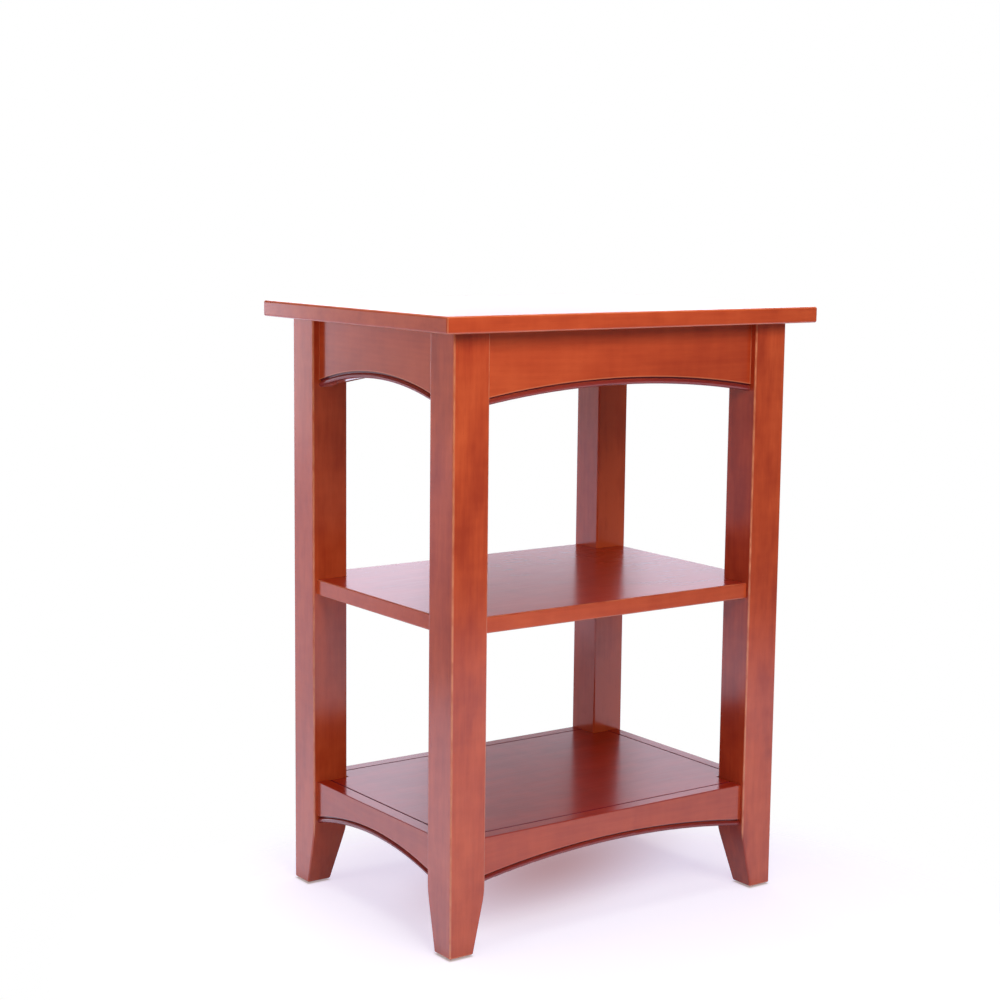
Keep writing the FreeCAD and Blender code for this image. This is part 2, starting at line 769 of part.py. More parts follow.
def nut_pattern():
    """Make a hexagon nut that lies on z = 0."""
    body = new_body("nut_pattern")
    sketch = new_sketch(body, "XY_Plane")
    point = "nut_flats / sqrt(3)"
    half = "nut_flats / 2"
    polygon(sketch, [
        (point, "0"),
        (f"{point} / 2", half),
        (f"-{point} / 2", half),
        (f"-{point}", "0"),
        (f"-{point} / 2", f"-{half}"),
        (f"{point} / 2", f"-{half}"),
    ])
    circles(sketch, [("0", "0")], "bolt_hole")
    pad(body, sketch, "nut_thick")
    return body


def cam_post_pattern():
    """Make a cam post along Z: thread below z = 0, then a neck and a head that the cam grips."""
    body = new_body("cam_post_pattern")
    thread = "cam_post_diameter / 2"
    neck = "cam_neck_diameter / 2"
    head = "cam_head_diameter / 2"
    head_start = "(cam_reach - cam_head_length / 2)"
    head_end = "(cam_reach + cam_head_length / 2)"
    revolve(body, [
        ("0", "-cam_post_bite"),
        (f"{thread} * 0.6", "-cam_post_bite"),
        (thread, f"-cam_post_bite + {thread} * 0.8"),
        (thread, "0"),
        (neck, "0"),
        (neck, f"{head_start} - ({head} - {neck})"),
        (head, head_start),
        (head, f"{head_end} - ({head} - {neck})"),
        (neck, head_end),
        ("0", head_end),
    ])
    return body


def cam_pattern():
    """Make a cam with its drive slot in z = 0 and the mouth for the post towards -X."""
    body = new_body("cam_pattern")
    disc = new_sketch(body, "XY_Plane")
    circles(disc, [("0", "0")], "cam_diameter")
    pad(body, disc, "cam_depth")
    bore(body, ("-cam_diameter", "0", "shelf_thick / 2"), FreeCAD.Rotation(UP, FreeCAD.Vector(1, 0, 0)),
         "cam_bore", "cam_diameter + cam_head_length / 2 + hole_end_gap")
    slot = new_sketch(body, "XY_Plane")
    reach = "cam_diameter * 0.3"
    half = "cam_slot_width / 2"
    polygon(slot, [(f"-{reach}", f"-{half}"), (reach, f"-{half}"), (reach, half), (f"-{reach}", half)])
    pocket(body, slot, "cam_slot_depth", ahead=True)
    return body


def spot_in_corner(turns, along_x, along_y, z, direction=UP):
    """Return a function that points a fastener in a direction at a place in one corner."""
    turn = FreeCAD.Rotation(UP, direction)
    return lambda item: place_in_corner(item, turns, along_x, along_y, z, turn)


def dowels():
    """Put two dowels in each joint of an apron or lower rail, and one between the shelf and each leg."""
    pattern = pin_pattern("dowel_pattern", "-dowel_length / 2", "dowel_length / 2", "dowel_diameter",
                          "dowel_chamfer")
    along_x = FreeCAD.Vector(1, 0, 0)
    along_y = FreeCAD.Vector(0, 1, 0)
    spots = []
    for turns, (_, shelf_face) in enumerate(CORNERS):
        if shelf_face == "x":
            spots.append(spot_in_corner(turns, "leg_side", "shelf_dowel_line", "shelf_middle", along_x))
        else:
            spots.append(spot_in_corner(turns, "shelf_dowel_line", "leg_side", "shelf_middle", along_y))
    group("shelf_dowels", pattern, spots)
    for label, set_back, top, drop, spacing in (
        ("apron_dowels", "apron_set_back", "frame_top", "apron_dowel_drop", "apron_dowel_spacing"),
        ("lower_rail_dowels", "shelf_set_back", "lower_rail_top", "rail_dowel_drop", "rail_dowel_spacing"),
    ):
        spots = []
        middle = f"{set_back} + rail_thick / 2"
        for turns in QUARTER_TURNS:
            for z in (f"{top} - {drop}", f"{top} - {drop} - {spacing}"):
                spots.append(spot_in_corner(turns, "leg_side", middle, z, along_x))
                spots.append(spot_in_corner(turns, middle, "leg_side", z, along_y))
        group(label, pattern, spots)


def leg_bolts():
    """Put a hanger bolt, washer and nut through each corner block."""
    reach = "draw_gap + block_thick + washer_thick + nut_thick + bolt_tail"
    bolt = pin_pattern("bolt_pattern", "-bolt_bite", reach, "bolt_diameter", "bolt_chamfer")
    washer = washer_pattern()
    nut = nut_pattern()
    levels = ("upper_block_bottom + upper_block_height / 2", "lower_block_bottom + lower_block_height / 2")
    seats = {
        "leg_hanger_bolts": (bolt, "flat_sum / 2"),
        "bolt_washers": (washer, "block_far / 2"),
        "bolt_nuts": (nut, "block_far / 2 + washer_thick / sqrt(2)"),
    }
    for label, (pattern, seat) in seats.items():
        spots = [spot_in_corner(turns, seat, seat, z, DIAGONAL) for turns in QUARTER_TURNS for z in levels]
        group(label, pattern, spots)


def screws():
    """Put in the screws that hold the top, the corner blocks and the cleats."""
    top_screw = screw_pattern("top_screw_pattern", "(upper_block_height + top_screw_bite)")
    spots = []
    for turns in QUARTER_TURNS:
        spots.append(spot_in_corner(turns, "top_screw_near", "top_screw_far", "upper_block_bottom"))
        spots.append(spot_in_corner(turns, "top_screw_far", "top_screw_near", "upper_block_bottom"))
    group("top_screws", top_screw, spots)

    block_screw = screw_pattern("block_screw_pattern", "(wing_seat + wing_screw_bite)")
    towards_x = FreeCAD.Vector(-1, 0, 0)
    towards_y = FreeCAD.Vector(0, -1, 0)
    spots = []
    for turns in QUARTER_TURNS:
        for level in ("upper", "lower"):
            along = f"{level}_wing_screw"
            seat = f"{level}_inner + wing_seat"
            z = f"{level}_block_bottom + {level}_block_height / 2"
            spots.append(spot_in_corner(turns, along, seat, z, towards_y))
            spots.append(spot_in_corner(turns, seat, along, z, towards_x))
    group("corner_block_screws", block_screw, spots)

    cleat_screw = screw_pattern("cleat_screw_pattern", "(cleat_side + cleat_screw_bite)")
    inset = "lower_inner + cleat_side"
    height = "panel_bottom - cleat_side / 2"
    spots = []
    for turns, side in enumerate(SIDES):
        kind = kind_of(side)
        outer = "frame_width / 2" if kind == "front" else "frame_depth / 2"
        for x in cleat_screw_places(kind):
            spots.append(spot_in_corner(turns, f"{outer} + {x}", inset, height, towards_y))
    group("cleat_screws", cleat_screw, spots)


def cams():
    """Put a cam post in each leg and a cam over its head in the middle shelf."""
    posts = []
    discs = []
    for turns, (corner, shelf_face) in enumerate(CORNERS):
        seat = ("leg_side", "cam_line")
        centre = ("leg_side + cam_reach", "cam_line")
        direction = FreeCAD.Vector(1, 0, 0)
        if shelf_face == "y":
            seat = seat[::-1]
            centre = centre[::-1]
            direction = FreeCAD.Vector(0, 1, 0)
        posts.append(spot_in_corner(turns, *seat, "shelf_middle", direction))
        x, y = corner_point(turns, *centre)
        mouth = quarter_turn(0 if corner.endswith("left") else 2)
        discs.append(lambda item, x=x, y=y, mouth=mouth: place(item, x, y, "shelf_bottom", mouth))
    group("shelf_cam_posts", cam_post_pattern(), posts)
    group("shelf_cams", cam_pattern(), discs)


def build():
    """Make every sub-part of the table."""
    table_top()
    for turns, (corner, shelf_face) in enumerate(CORNERS):
        leg(corner, turns, shelf_face)
    aprons_and_rails()
    middle_shelf()
    lower_shelf_panel()
    for turns, (corner, _) in enumerate(CORNERS):
        corner_block("upper", corner, turns)
        corner_block("lower", corner, turns)
        foot_glide(corner, turns)
    for turns, side in enumerate(SIDES):
        cleat(side, turns)
    dowels()
    leg_bolts()
    screws()
    cams()
    doc.recompute()


def write_parts():
    """Check every object and write one file for each sub-part."""
    for item in doc.Objects:
        if "Invalid" in item.State or "Error" in item.State:
            raise RuntimeError(f"{item.Label} is in state {item.State}")
    for item in sub_parts:
        if item.Shape.isNull() or not item.Shape.isValid() or not item.Shape.Solids:
            raise RuntimeError(f"{item.Label} has no valid shape")
    os.makedirs("parts", exist_ok=True)
    for item in sub_parts:
        item.Shape.exportStep(os.path.join("parts", item.Label + ".step"))


build()
write_parts()
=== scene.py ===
"""Looks, studio and camera for the end table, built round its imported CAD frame.

The boards keep their CAD shapes and get stained, lacquered wood. Screws, nuts and bolts are made again in
the same seats with their recesses, chamfers and threads.
"""

import math

import bmesh
import bpy
import numpy
from mathutils import Matrix, Vector


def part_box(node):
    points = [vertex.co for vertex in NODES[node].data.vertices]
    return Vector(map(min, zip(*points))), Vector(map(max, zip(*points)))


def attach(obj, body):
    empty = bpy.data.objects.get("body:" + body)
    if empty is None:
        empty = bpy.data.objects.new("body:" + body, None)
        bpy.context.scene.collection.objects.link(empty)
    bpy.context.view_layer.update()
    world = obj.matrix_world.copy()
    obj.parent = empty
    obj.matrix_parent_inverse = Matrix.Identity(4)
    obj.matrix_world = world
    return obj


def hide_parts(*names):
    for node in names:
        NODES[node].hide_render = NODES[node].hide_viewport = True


bl_info = {
    "name": "End Table",
    "version": (1, 0, 0),
    "blender": (4, 5, 0),
    "location": "View3D > Sidebar > End Table",
    "description": "Dresses the CAD frame of an end table with two shelves",
    "category": "Object",
}

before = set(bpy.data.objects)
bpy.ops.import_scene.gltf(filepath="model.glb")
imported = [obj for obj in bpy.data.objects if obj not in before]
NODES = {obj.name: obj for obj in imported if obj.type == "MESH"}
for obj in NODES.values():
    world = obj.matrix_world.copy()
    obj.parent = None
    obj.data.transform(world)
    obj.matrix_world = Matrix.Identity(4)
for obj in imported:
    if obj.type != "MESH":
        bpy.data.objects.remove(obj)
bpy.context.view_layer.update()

# Points closer than this are one, edges sharper than this stay sharp, and the camera's sensor in mm.
ONE_POINT = 1e-6
SHARP_ANGLE = math.radians(35)
SENSOR_WIDTH = 36.0

CORNERS = ("front_left", "front_right", "back_right", "back_left")

# The four sides, and the axis that the fibres of their boards run along.
SIDES = {"front": "x", "right": "y", "back": "x", "left": "y"}

# The turn that brings the fibres of a board onto X, by the axis they run along.
GRAIN_TURN = {
    "x": (0.0, 0.0, 0.0),
    "y": (0.0, 0.0, -math.pi / 2),
    "z": (0.0, math.pi / 2, 0.0),
}

# Growth rings: how many to a metre, how far they sway, and where in a ring the late wood lies.
RINGS_PER_METRE = 150.0
RING_SWAY = 0.045
LATE_WOOD = 0.62

# How far the hearts of like boards lie apart and how much their tones differ, each with its pace from
# board to board, and how far apart their patterns start.
HEART_SPREAD = 0.03
HEART_PACE = 2.4
TONE_SPREAD = 0.05
TONE_PACE = 5.1
STAINED_SHIFT = (0.83, 0.37, 0.59)
PLAIN_SHIFT = (0.61, 0.23, 0.47)

# Share of each pattern in the tone of the stain. Streaks and fibres count for more on a cloudy board.
STREAK_SHARE = 0.28
FIBRE_SHARE = 0.21
FIGURE_SHARE = 0.3
RING_SHARE = 0.05
PORE_SHARE = 0.35

# Rise of the arches, for boards along X and along Y, and the bead and quirk that follow them.
ARCH_RISE = {
    "apron": {"x": 0.015, "y": 0.018},
    "lower_rail": {"x": 0.0155, "y": 0.017},
}
BEAD_WIDTH = 0.006
QUIRK_WIDTH = 0.0018
MOULDING_DEPTH = 0.004

# How much painted shade lies in the quirk and on the bead, and how strong the painted highlight on the edge
# above them is and how far above the quirk it lies.
QUIRK_SHADE = 0.9
BEAD_SHADE = 0.62
RIDGE_HIGHLIGHT = {"apron": 0.45, "lower_rail": 0.12}
RIDGE_HEIGHT = 0.0006

# How far the inner faces of a foot are cut back, and how high up the leg.
FOOT_TAPER = (0.0145, 0.064)

# Share of the painted shade on a leg's inner faces across X and Y, and how much wider its worn edges with
# their painted highlight are.
LEG_INNER_SHADE = (1.0, 0.25)
LEG_EDGE = 1.5

# How far from its edge a board is eased, how far below a face a point still belongs to it, over how far a
# painted shade fades out, and how much of a worn edge with its painted highlight shows where it is faint and
# where strong.
EASED_EDGE = 0.0016
FACE_SKIN = 0.0015
SHADE_FADE = 0.001
FAINT_WEAR_AND_HIGHLIGHT = 0.35
STRONG_WEAR_AND_HIGHLIGHT = 0.85

# Soft lamps: place, aim, width, height, power and colour. Only the panels show in the lacquer.
WARM = (1.0, 0.97, 0.93)
COOL = (0.86, 0.81, 1.0)
PINK = (0.94, 0.81, 1.0)
MIDDLE = (0.0, 0.0, 0.4)
LAMPS = {
    "overhead_lamp": ((0.0, 0.0, 2.3), MIDDLE, 1.6, 1.6, 26.0, WARM),
    "near_lamp": ((-0.35, -0.95, 1.05), MIDDLE, 0.45, 0.45, 4.7, WARM),
    "front_lamp": ((0.2, -1.9, 1.4), MIDDLE, 0.8, 0.8, 13.0, WARM),
    "left_lamp": ((-1.1, 0.05, 0.75), MIDDLE, 0.6, 0.6, 2.8, WARM),
    "horizon_panel": ((2.35, 3.24, 0.72), (0.0, 0.0, 0.72), 4.25, 0.55, 13.5, PINK),
    "back_left_panel": ((1.37, 3.76, 1.8), (0.0, 0.0, 1.8), 1.7, 1.6, 10.6, PINK),
    "back_right_panel": ((3.15, 2.46, 1.8), (0.0, 0.0, 1.8), 1.56, 1.6, 6.7, PINK),
    "side_panel": ((-1.98, 4.6, 0.43), (0.0, 0.0, 0.43), 1.26, 1.1, 15.5, COOL),
}

# What shows in the lacquer round the horizon: degrees from the front by the left and how light it is there,
# and the level of the whole.
HORIZON = (
    (0, 0.03), (130, 0.03), (137, 0.12), (141, 0.9), (143, 0.9), (146, 0.33), (148, 0.95), (150, 0.55),
    (170, 0.6), (200, 1.0), (255, 1.0), (265, 0.15), (310, 0.12), (325, 0.17), (345, 0.12), (360, 0.03),
)
HORIZON_LEVEL = 0.91785

# Where the horizon gives way to the surroundings higher up, and how light those are beside it.
HORIZON_TOP = (0.07, 0.12)
HIGH_LEVEL = 0.25

# The floor as the camera sees it: plain, with painted light on its lighter left, painted shade under the
# table and a painted shadow below the feet.
FLOOR_PLAIN = (0.665, 0.615, 0.755)
FLOOR_PAINTED_LIGHT = (0.78, 0.73, 0.86)
FLOOR_PAINTED_SHADE = (0.385, 0.255, 0.285)
FLOOR_FOOT_SHADOW = (0.34, 0.28, 0.28)

# What the floor sends back of the lamps to the camera, and its colour in the lacquer.
FLOOR_LAMPLIT = (0.45, 0.48, 0.43)
FLOOR_MIRRORED = (0.85, 0.78, 1.0)

# The table's painted shade, an ellipse that is turned and stretched onto a circle.
SHADE_MIDDLE = (0.053, 0.034, 0.0)
SHADE_TURN = (0.0, 0.0, -0.452)
SHADE_STRETCH = (5.0, 11.0, 0.0)
SHADE_REACH = 1.69

# The way to the left on the floor, and from where to where the floor gets lighter that way, as painted
# light.
LEFTWARDS = (-0.88, 0.48)
LEFT_REACH = (0.115, 0.5)

# Zones of the floor in the lacquer, by where one gives way to the next: outwards from the table's middle,
# from front to back, at the table's front and left edges, round its middle, and along the way that the floor
# close behind it gets darker with painted shade.
BELOW_TABLE = (0.4, 0.5)
FRONT_FLOOR = (0.9, 1.1)
BACK_FLOOR = (1.1, 1.3)
FRONT_TO_BACK = (-0.05, 0.05)
FRONT_EDGE = (-0.2, -0.165)
LEFT_EDGE = (-0.25, -0.225)
BACK_SECTOR = (-0.73, -0.63)
DARKER_WAY = (0.84, 0.54)
DARKER_REACH = (-0.04, 0.08)

# Where the floor fades out for the camera and for everything else: the middle, and from where to where.
SEEN_MIDDLE = (-0.087, -0.203, 0.0)
SEEN_REACH = (0.39, 0.575)
LAID_MIDDLE = (-0.9, 1.3, 0.0)
LAID_REACH = (2.75, 3.7)

# Half the floor's width, how far it lies below the glides, and how soft the dark patch below a foot ends.
FLOOR_HALF = 5.5
FLOOR_GAP = 0.0002
FOOT_BLUR = 0.002


class EndTableWood(bpy.types.PropertyGroup):
    """Colours and lacquer of the stained boards."""

    stain_dark: bpy.props.FloatVectorProperty(
        name="Dark stain",
        description="Colour of the late wood and of blotches",
        subtype="COLOR",
        default=(0.40, 0.043, 0.0118),
        min=0.0,
        max=1.0,
    )
    stain_mid: bpy.props.FloatVectorProperty(
        name="Stain",
        description="Main colour of the stained wood",
        subtype="COLOR",
        default=(0.52, 0.068, 0.0185),
        min=0.0,
        max=1.0,
    )
    stain_light: bpy.props.FloatVectorProperty(
        name="Light stain",
        description="Colour of the early wood",
        subtype="COLOR",
        default=(0.62, 0.097, 0.027),
        min=0.0,
        max=1.0,
    )
    # Painted shade: what is kept of each colour on faces in shade, the upper faces of boards and the inner
    # faces of legs.
    painted_shade_tint: bpy.props.FloatVectorProperty(
        name="Deep stain",
        description="What the stain keeps of each colour where it went on thicker",
        subtype="COLOR",
        default=(0.70, 0.26, 0.28),
        min=0.0,
        max=1.0,
    )
    # Partly real and partly painted light: the stain sanded thin along the eased edges, lightened further as
    # a painted highlight.
    stain_edge_and_highlight: bpy.props.FloatVectorProperty(
        name="Edge",
        description="Colour along the eased edges, where the stain is sanded thin",
        subtype="COLOR",
        default=(0.74, 0.25, 0.12),
        min=0.0,
        max=1.0,
    )
    # Painted shade in the quirk and on the bead of the arches and on the walls of the gap round the lower
    # shelf's panel.
    groove_shade_colour: bpy.props.FloatVectorProperty(
        name="Pooled stain",
        description="Colour of the stain that has run into grooves and gaps",
        subtype="COLOR",
        default=(0.115, 0.006, 0.026),
        min=0.0,
        max=1.0,
    )
    lacquer_roughness: bpy.props.FloatProperty(
        name="Lacquer roughness",
        description="Roughness of the clear lacquer",
        subtype="FACTOR",
        default=0.17,
        min=0.0,
        max=1.0,
    )
    edge_width: bpy.props.FloatProperty(
        name="Edge width",
        description="How far the sanded edge reaches onto a face",
        subtype="DISTANCE",
        unit="LENGTH",
        default=0.0016,
        min=0.0001,
    )


class EndTableStudio(bpy.types.PropertyGroup):
    """Floor, lamps and surroundings."""

    floor_colour: bpy.props.FloatVectorProperty(
        name="Floor",
        description="Colour of the paper floor",
        subtype="COLOR",
        default=(0.72, 0.74, 0.88),
        min=0.0,
        max=1.0,
    )
    lamp_level: bpy.props.FloatProperty(
        name="Lamps",
        description="Level of all the lamps together",
        subtype="FACTOR",
        default=1.0,
        min=0.0,
    )
    ambient: bpy.props.FloatProperty(
        name="Ambient",
        description="Strength of the light from all round",
        default=0.11,
        min=0.0,
    )


class EndTableView(bpy.types.PropertyGroup):
    """Where the camera stands."""

    lens: bpy.props.FloatProperty(
        name="Lens",
        description="Focal length on a 36 mm sensor",
        subtype="DISTANCE_CAMERA",
        unit="CAMERA",
        default=72.879,
        min=1.0,
    )
    eye: bpy.props.FloatVectorProperty(
        name="Eye",
        description="Place of the camera",
        subtype="TRANSLATION",
        unit="LENGTH",
        default=(-1.3811, -1.8720, 0.7956),
    )
    azimuth: bpy.props.FloatProperty(
        name="Azimuth",
        description="Turn of the view about the upright axis",
        subtype="ANGLE",
        unit="ROTATION",
        default=math.radians(-35.363),
    )
    pitch: bpy.props.FloatProperty(
        name="Pitch",
        description="How far the view looks down",
        subtype="ANGLE",
        unit="ROTATION",
        default=math.radians(8.255),
    )
    roll: bpy.props.FloatProperty(
        name="Roll",
        description="Tilt of the view about its own axis",
        subtype="ANGLE",
        unit="ROTATION",
        default=math.radians(0.618),
    )


class Graph:
    """A node tree written as calls that give back sockets."""

    def __init__(self, tree):
        self.tree = tree
        tree.nodes.clear()

    def add(self, kind, inputs=None, **settings):
        """Add a node, set its properties and fill or link its inputs."""
        node = self.tree.nodes.new(kind)
        for key, value in settings.items():
            setattr(node, key, value)
        for key, value in (inputs or {}).items():
            self.feed(node.inputs[key], value)
        return node

    def feed(self, socket, value):
        """Link an output socket, or set a plain value."""
        if isinstance(value, bpy.types.NodeSocket):
            self.tree.links.new(value, socket)
        else:
            socket.default_value = value

    def coords(self):
        """Return the place of each point on the piece."""
        return self.add("ShaderNodeTexCoord").outputs["Object"]

    def parts(self, vector):
        """Return the three parts of a vector."""
        return self.add("ShaderNodeSeparateXYZ", {0: vector}).outputs

    def math(self, operation, a, b=0.0):
        """Return the result of one sum on numbers."""
        return self.add("ShaderNodeMath", {0: a, 1: b}, operation=operation).outputs[0]

    def total(self, *terms):
        """Return the sum of numbers, each times its share."""
        result, *rest = [self.math("MULTIPLY", value, share) for value, share in terms]
        for term in rest:
            result = self.math("ADD", result, term)
        return result

    def hypotenuse(self, a, b):
        """Return the long side of a right-angled triangle."""
        return self.math("SQRT", self.total((a, a), (b, b)))

    def vector(self, operation, a, b=(0.0, 0.0, 0.0)):
        """Return the result of one sum on vectors."""
        return self.add("ShaderNodeVectorMath", {0: a, 1: b}, operation=operation).outputs[0]

    def span(self, value, low, high, start=0.0, end=1.0, smooth=False):
        """Map a range of a number onto another range."""
        kind = "SMOOTHSTEP" if smooth else "LINEAR"
        feeds = {"Value": value, "From Min": low, "From Max": high, "To Min": start, "To Max": end}
        return self.add("ShaderNodeMapRange", feeds, interpolation_type=kind).outputs[0]

    def mapping(self, vector, place=(0.0, 0.0, 0.0), turn=(0.0, 0.0, 0.0), scale=(1.0, 1.0, 1.0)):
        """Place, turn and stretch a pattern."""
        feeds = {"Vector": vector, "Location": place, "Rotation": turn, "Scale": scale}
        return self.add("ShaderNodeMapping", feeds).outputs[0]

    def noise(self, vector, scale, detail=2.0, roughness=0.5, distortion=0.0):
        """Return soft noise from 0 to 1."""
        feeds = {
            "Vector": vector,
            "Scale": scale,
            "Detail": detail,
            "Roughness": roughness,
            "Distortion": distortion,
        }
        return self.add("ShaderNodeTexNoise", feeds).outputs["Fac"]

    def fibres(self, board, along, across, detail=2.0, roughness=0.5, distortion=0.0):
        """Return noise that is drawn out along the fibres, by its waves to a metre along and across them."""
        stretched = self.mapping(board, scale=(along, across, across))
        return self.noise(stretched, 1.0, detail, roughness, distortion)

    def mix(self, factor, a, b, blend="MIX"):
        """Mix two colours."""
        node = self.add("ShaderNodeMix", data_type="RGBA", blend_type=blend)
        self.feed(node.inputs["Factor"], factor)
        self.feed(node.inputs["A"], a)
        self.feed(node.inputs["B"], b)
        return node.outputs["Result"]

    def ramp(self, factor, stops):
        """Colour a number by stops of place and colour."""
        node = self.add("ShaderNodeValToRGB", {"Fac": factor})
        elements = node.color_ramp.elements
        while len(elements) < len(stops):
            elements.new(0.5)
        for element, (place, colour) in zip(elements, stops):
            element.position = place
            element.color = solid(colour)
        return node.outputs["Color"]

    def bump(self, height, strength, distance):
        """Turn a height into a normal."""
        feeds = {"Height": height, "Strength": strength, "Distance": distance}
        return self.add("ShaderNodeBump", feeds).outputs["Normal"]


def solid(colour):
    """Return a colour with full alpha."""
    return (colour[0], colour[1], colour[2], 1.0)


def new_graph(name):
    """Return a material, its graph and the socket of its surface."""
    material = bpy.data.materials.new(name)
    material.use_nodes = True
    graph = Graph(material.node_tree)
    return material, graph, graph.add("ShaderNodeOutputMaterial").inputs["Surface"]


def new_material(name):
    """Return a material, its graph and its main shader."""
    material, graph, surface = new_graph(name)
    shader = graph.add("ShaderNodeBsdfPrincipled")
    graph.feed(surface, shader.outputs[0])
    return material, graph, shader


def edge_band(graph, coords, node, width):
    """Return 1 along the edges of a board and 0 away from them."""
    low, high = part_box(node)
    centre = (low + high) / 2
    half = (high - low) / 2
    offset = graph.vector("ABSOLUTE", graph.vector("SUBTRACT", coords, tuple(centre)))
    parts = graph.parts(graph.vector("SUBTRACT", tuple(half), offset))
    near = graph.math("MINIMUM", parts[0], parts[1])
    far = graph.math("MAXIMUM", parts[0], parts[1])
    second = graph.math("MAXIMUM", near, graph.math("MINIMUM", far, parts[2]))
    return graph.span(second, width * 0.4, width, 1.0, 0.0, smooth=True)


def arch_shade_and_highlight(graph, coords, node, kind, grain):
    """Return the painted shade on an arch's quirk and bead, and the painted highlight on the edge just above
    them.
    """
    low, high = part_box(node)
    lengthwise = "xy".index(grain)
    inwards = 1 - lengthwise
    half = (high[lengthwise] - low[lengthwise]) / 2
    rise = ARCH_RISE[kind][grain]
    radius = (half * half + rise * rise) / (2 * rise)
    parts = graph.parts(coords)
    up = graph.math("SUBTRACT", parts[2], low.z + rise - radius)
    over = graph.math("SUBTRACT", graph.hypotenuse(parts[lengthwise], up), radius + BEAD_WIDTH)
    ridge = graph.math("ABSOLUTE", graph.math("SUBTRACT", over, QUIRK_WIDTH + RIDGE_HEIGHT))
    ridge = graph.span(ridge, RIDGE_HEIGHT * 0.5, RIDGE_HEIGHT * 1.5, RIDGE_HIGHLIGHT[kind], 0.0)
    quirk = graph.math("ABSOLUTE", graph.math("SUBTRACT", over, QUIRK_WIDTH / 2))
    quirk = graph.span(quirk, QUIRK_WIDTH * 0.35, QUIRK_WIDTH * 0.75, QUIRK_SHADE, 0.0)
    bead = graph.span(over, -SHADE_FADE, 0.0, BEAD_SHADE, 0.0)
    outer = max(abs(low[inwards]), abs(high[inwards]))
    depth = graph.math("SUBTRACT", outer, graph.math("ABSOLUTE", parts[inwards]))
    facing = graph.span(depth, MOULDING_DEPTH, MOULDING_DEPTH + SHADE_FADE / 2, 1.0, 0.0)
    groove_shade = graph.math("MULTIPLY", graph.math("MAXIMUM", quirk, bead), facing)
    return groove_shade, graph.math("MULTIPLY", ridge, facing)


def shadow_gap(graph, coords):
    """Return 1 on the walls of the narrow gap round the lower shelf's panel, where shade is painted, and 0
    elsewhere.
    """
    bottom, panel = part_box("lower_shelf_panel")
    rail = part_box("lower_rail_front")[1]
    gap = -rail.y - panel.y
    parts = graph.parts(coords)
    beyond_x = graph.math("SUBTRACT", graph.math("ABSOLUTE", parts[0]), panel.x + gap / 2)
    beyond_y = graph.math("SUBTRACT", graph.math("ABSOLUTE", parts[1]), panel.y + gap / 2)
    beyond = graph.math("ABSOLUTE", graph.math("MAXIMUM", beyond_x, beyond_y))
    level = graph.span(parts[2], bottom.z - SHADE_FADE, bottom.z)
    return graph.math("MULTIPLY", level, graph.span(beyond, gap * 0.7, gap * 0.95, 1.0, 0.0))


def inner_face_shade(graph, coords, node):
    """Return how much painted shade lies on the two faces of a leg that look into the table."""
    low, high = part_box(node)
    parts = graph.parts(coords)
    taper = graph.span(parts[2], low.z, low.z + FOOT_TAPER[1], FOOT_TAPER[0], 0.0)
    faces = []
    for axis, share in enumerate(LEG_INNER_SHADE):
        inner = min(abs(low[axis]), abs(high[axis]))
        surface = graph.math("ADD", taper, inner)
        depth = graph.math("SUBTRACT", graph.math("ABSOLUTE", parts[axis]), surface)
        faces.append(graph.span(depth, FACE_SKIN, FACE_SKIN + SHADE_FADE, share, 0.0))
    return graph.math("MAXIMUM", *faces)


def upper_face_shade(graph, coords, node):
    """Return 1 on the upper face of a board, where shade is painted, and 0 on its edges."""
    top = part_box(node)[1].z
    return graph.span(graph.parts(coords)[2], top - EASED_EDGE, top - EASED_EDGE / 2)


def growth_rings(graph, board, place, seed, heart):
    """Return the early and late wood of the rings round a heart that lies below the board."""
    sway = graph.fibres(board, along=2.2, across=7.0, detail=1.0)
    across = graph.math("ADD", place[1], HEART_SPREAD * math.sin(seed * HEART_PACE))
    through = graph.math("ADD", place[2], heart)
    radius = graph.math("ADD", graph.hypotenuse(across, through), graph.math("MULTIPLY", sway, RING_SWAY))
    ring = graph.math("FRACT", graph.math("MULTIPLY", radius, RINGS_PER_METRE))
    from_late_wood = graph.math("ABSOLUTE", graph.math("SUBTRACT", ring, LATE_WOOD))
    return graph.span(from_late_wood, 0.0, 0.5, smooth=True)


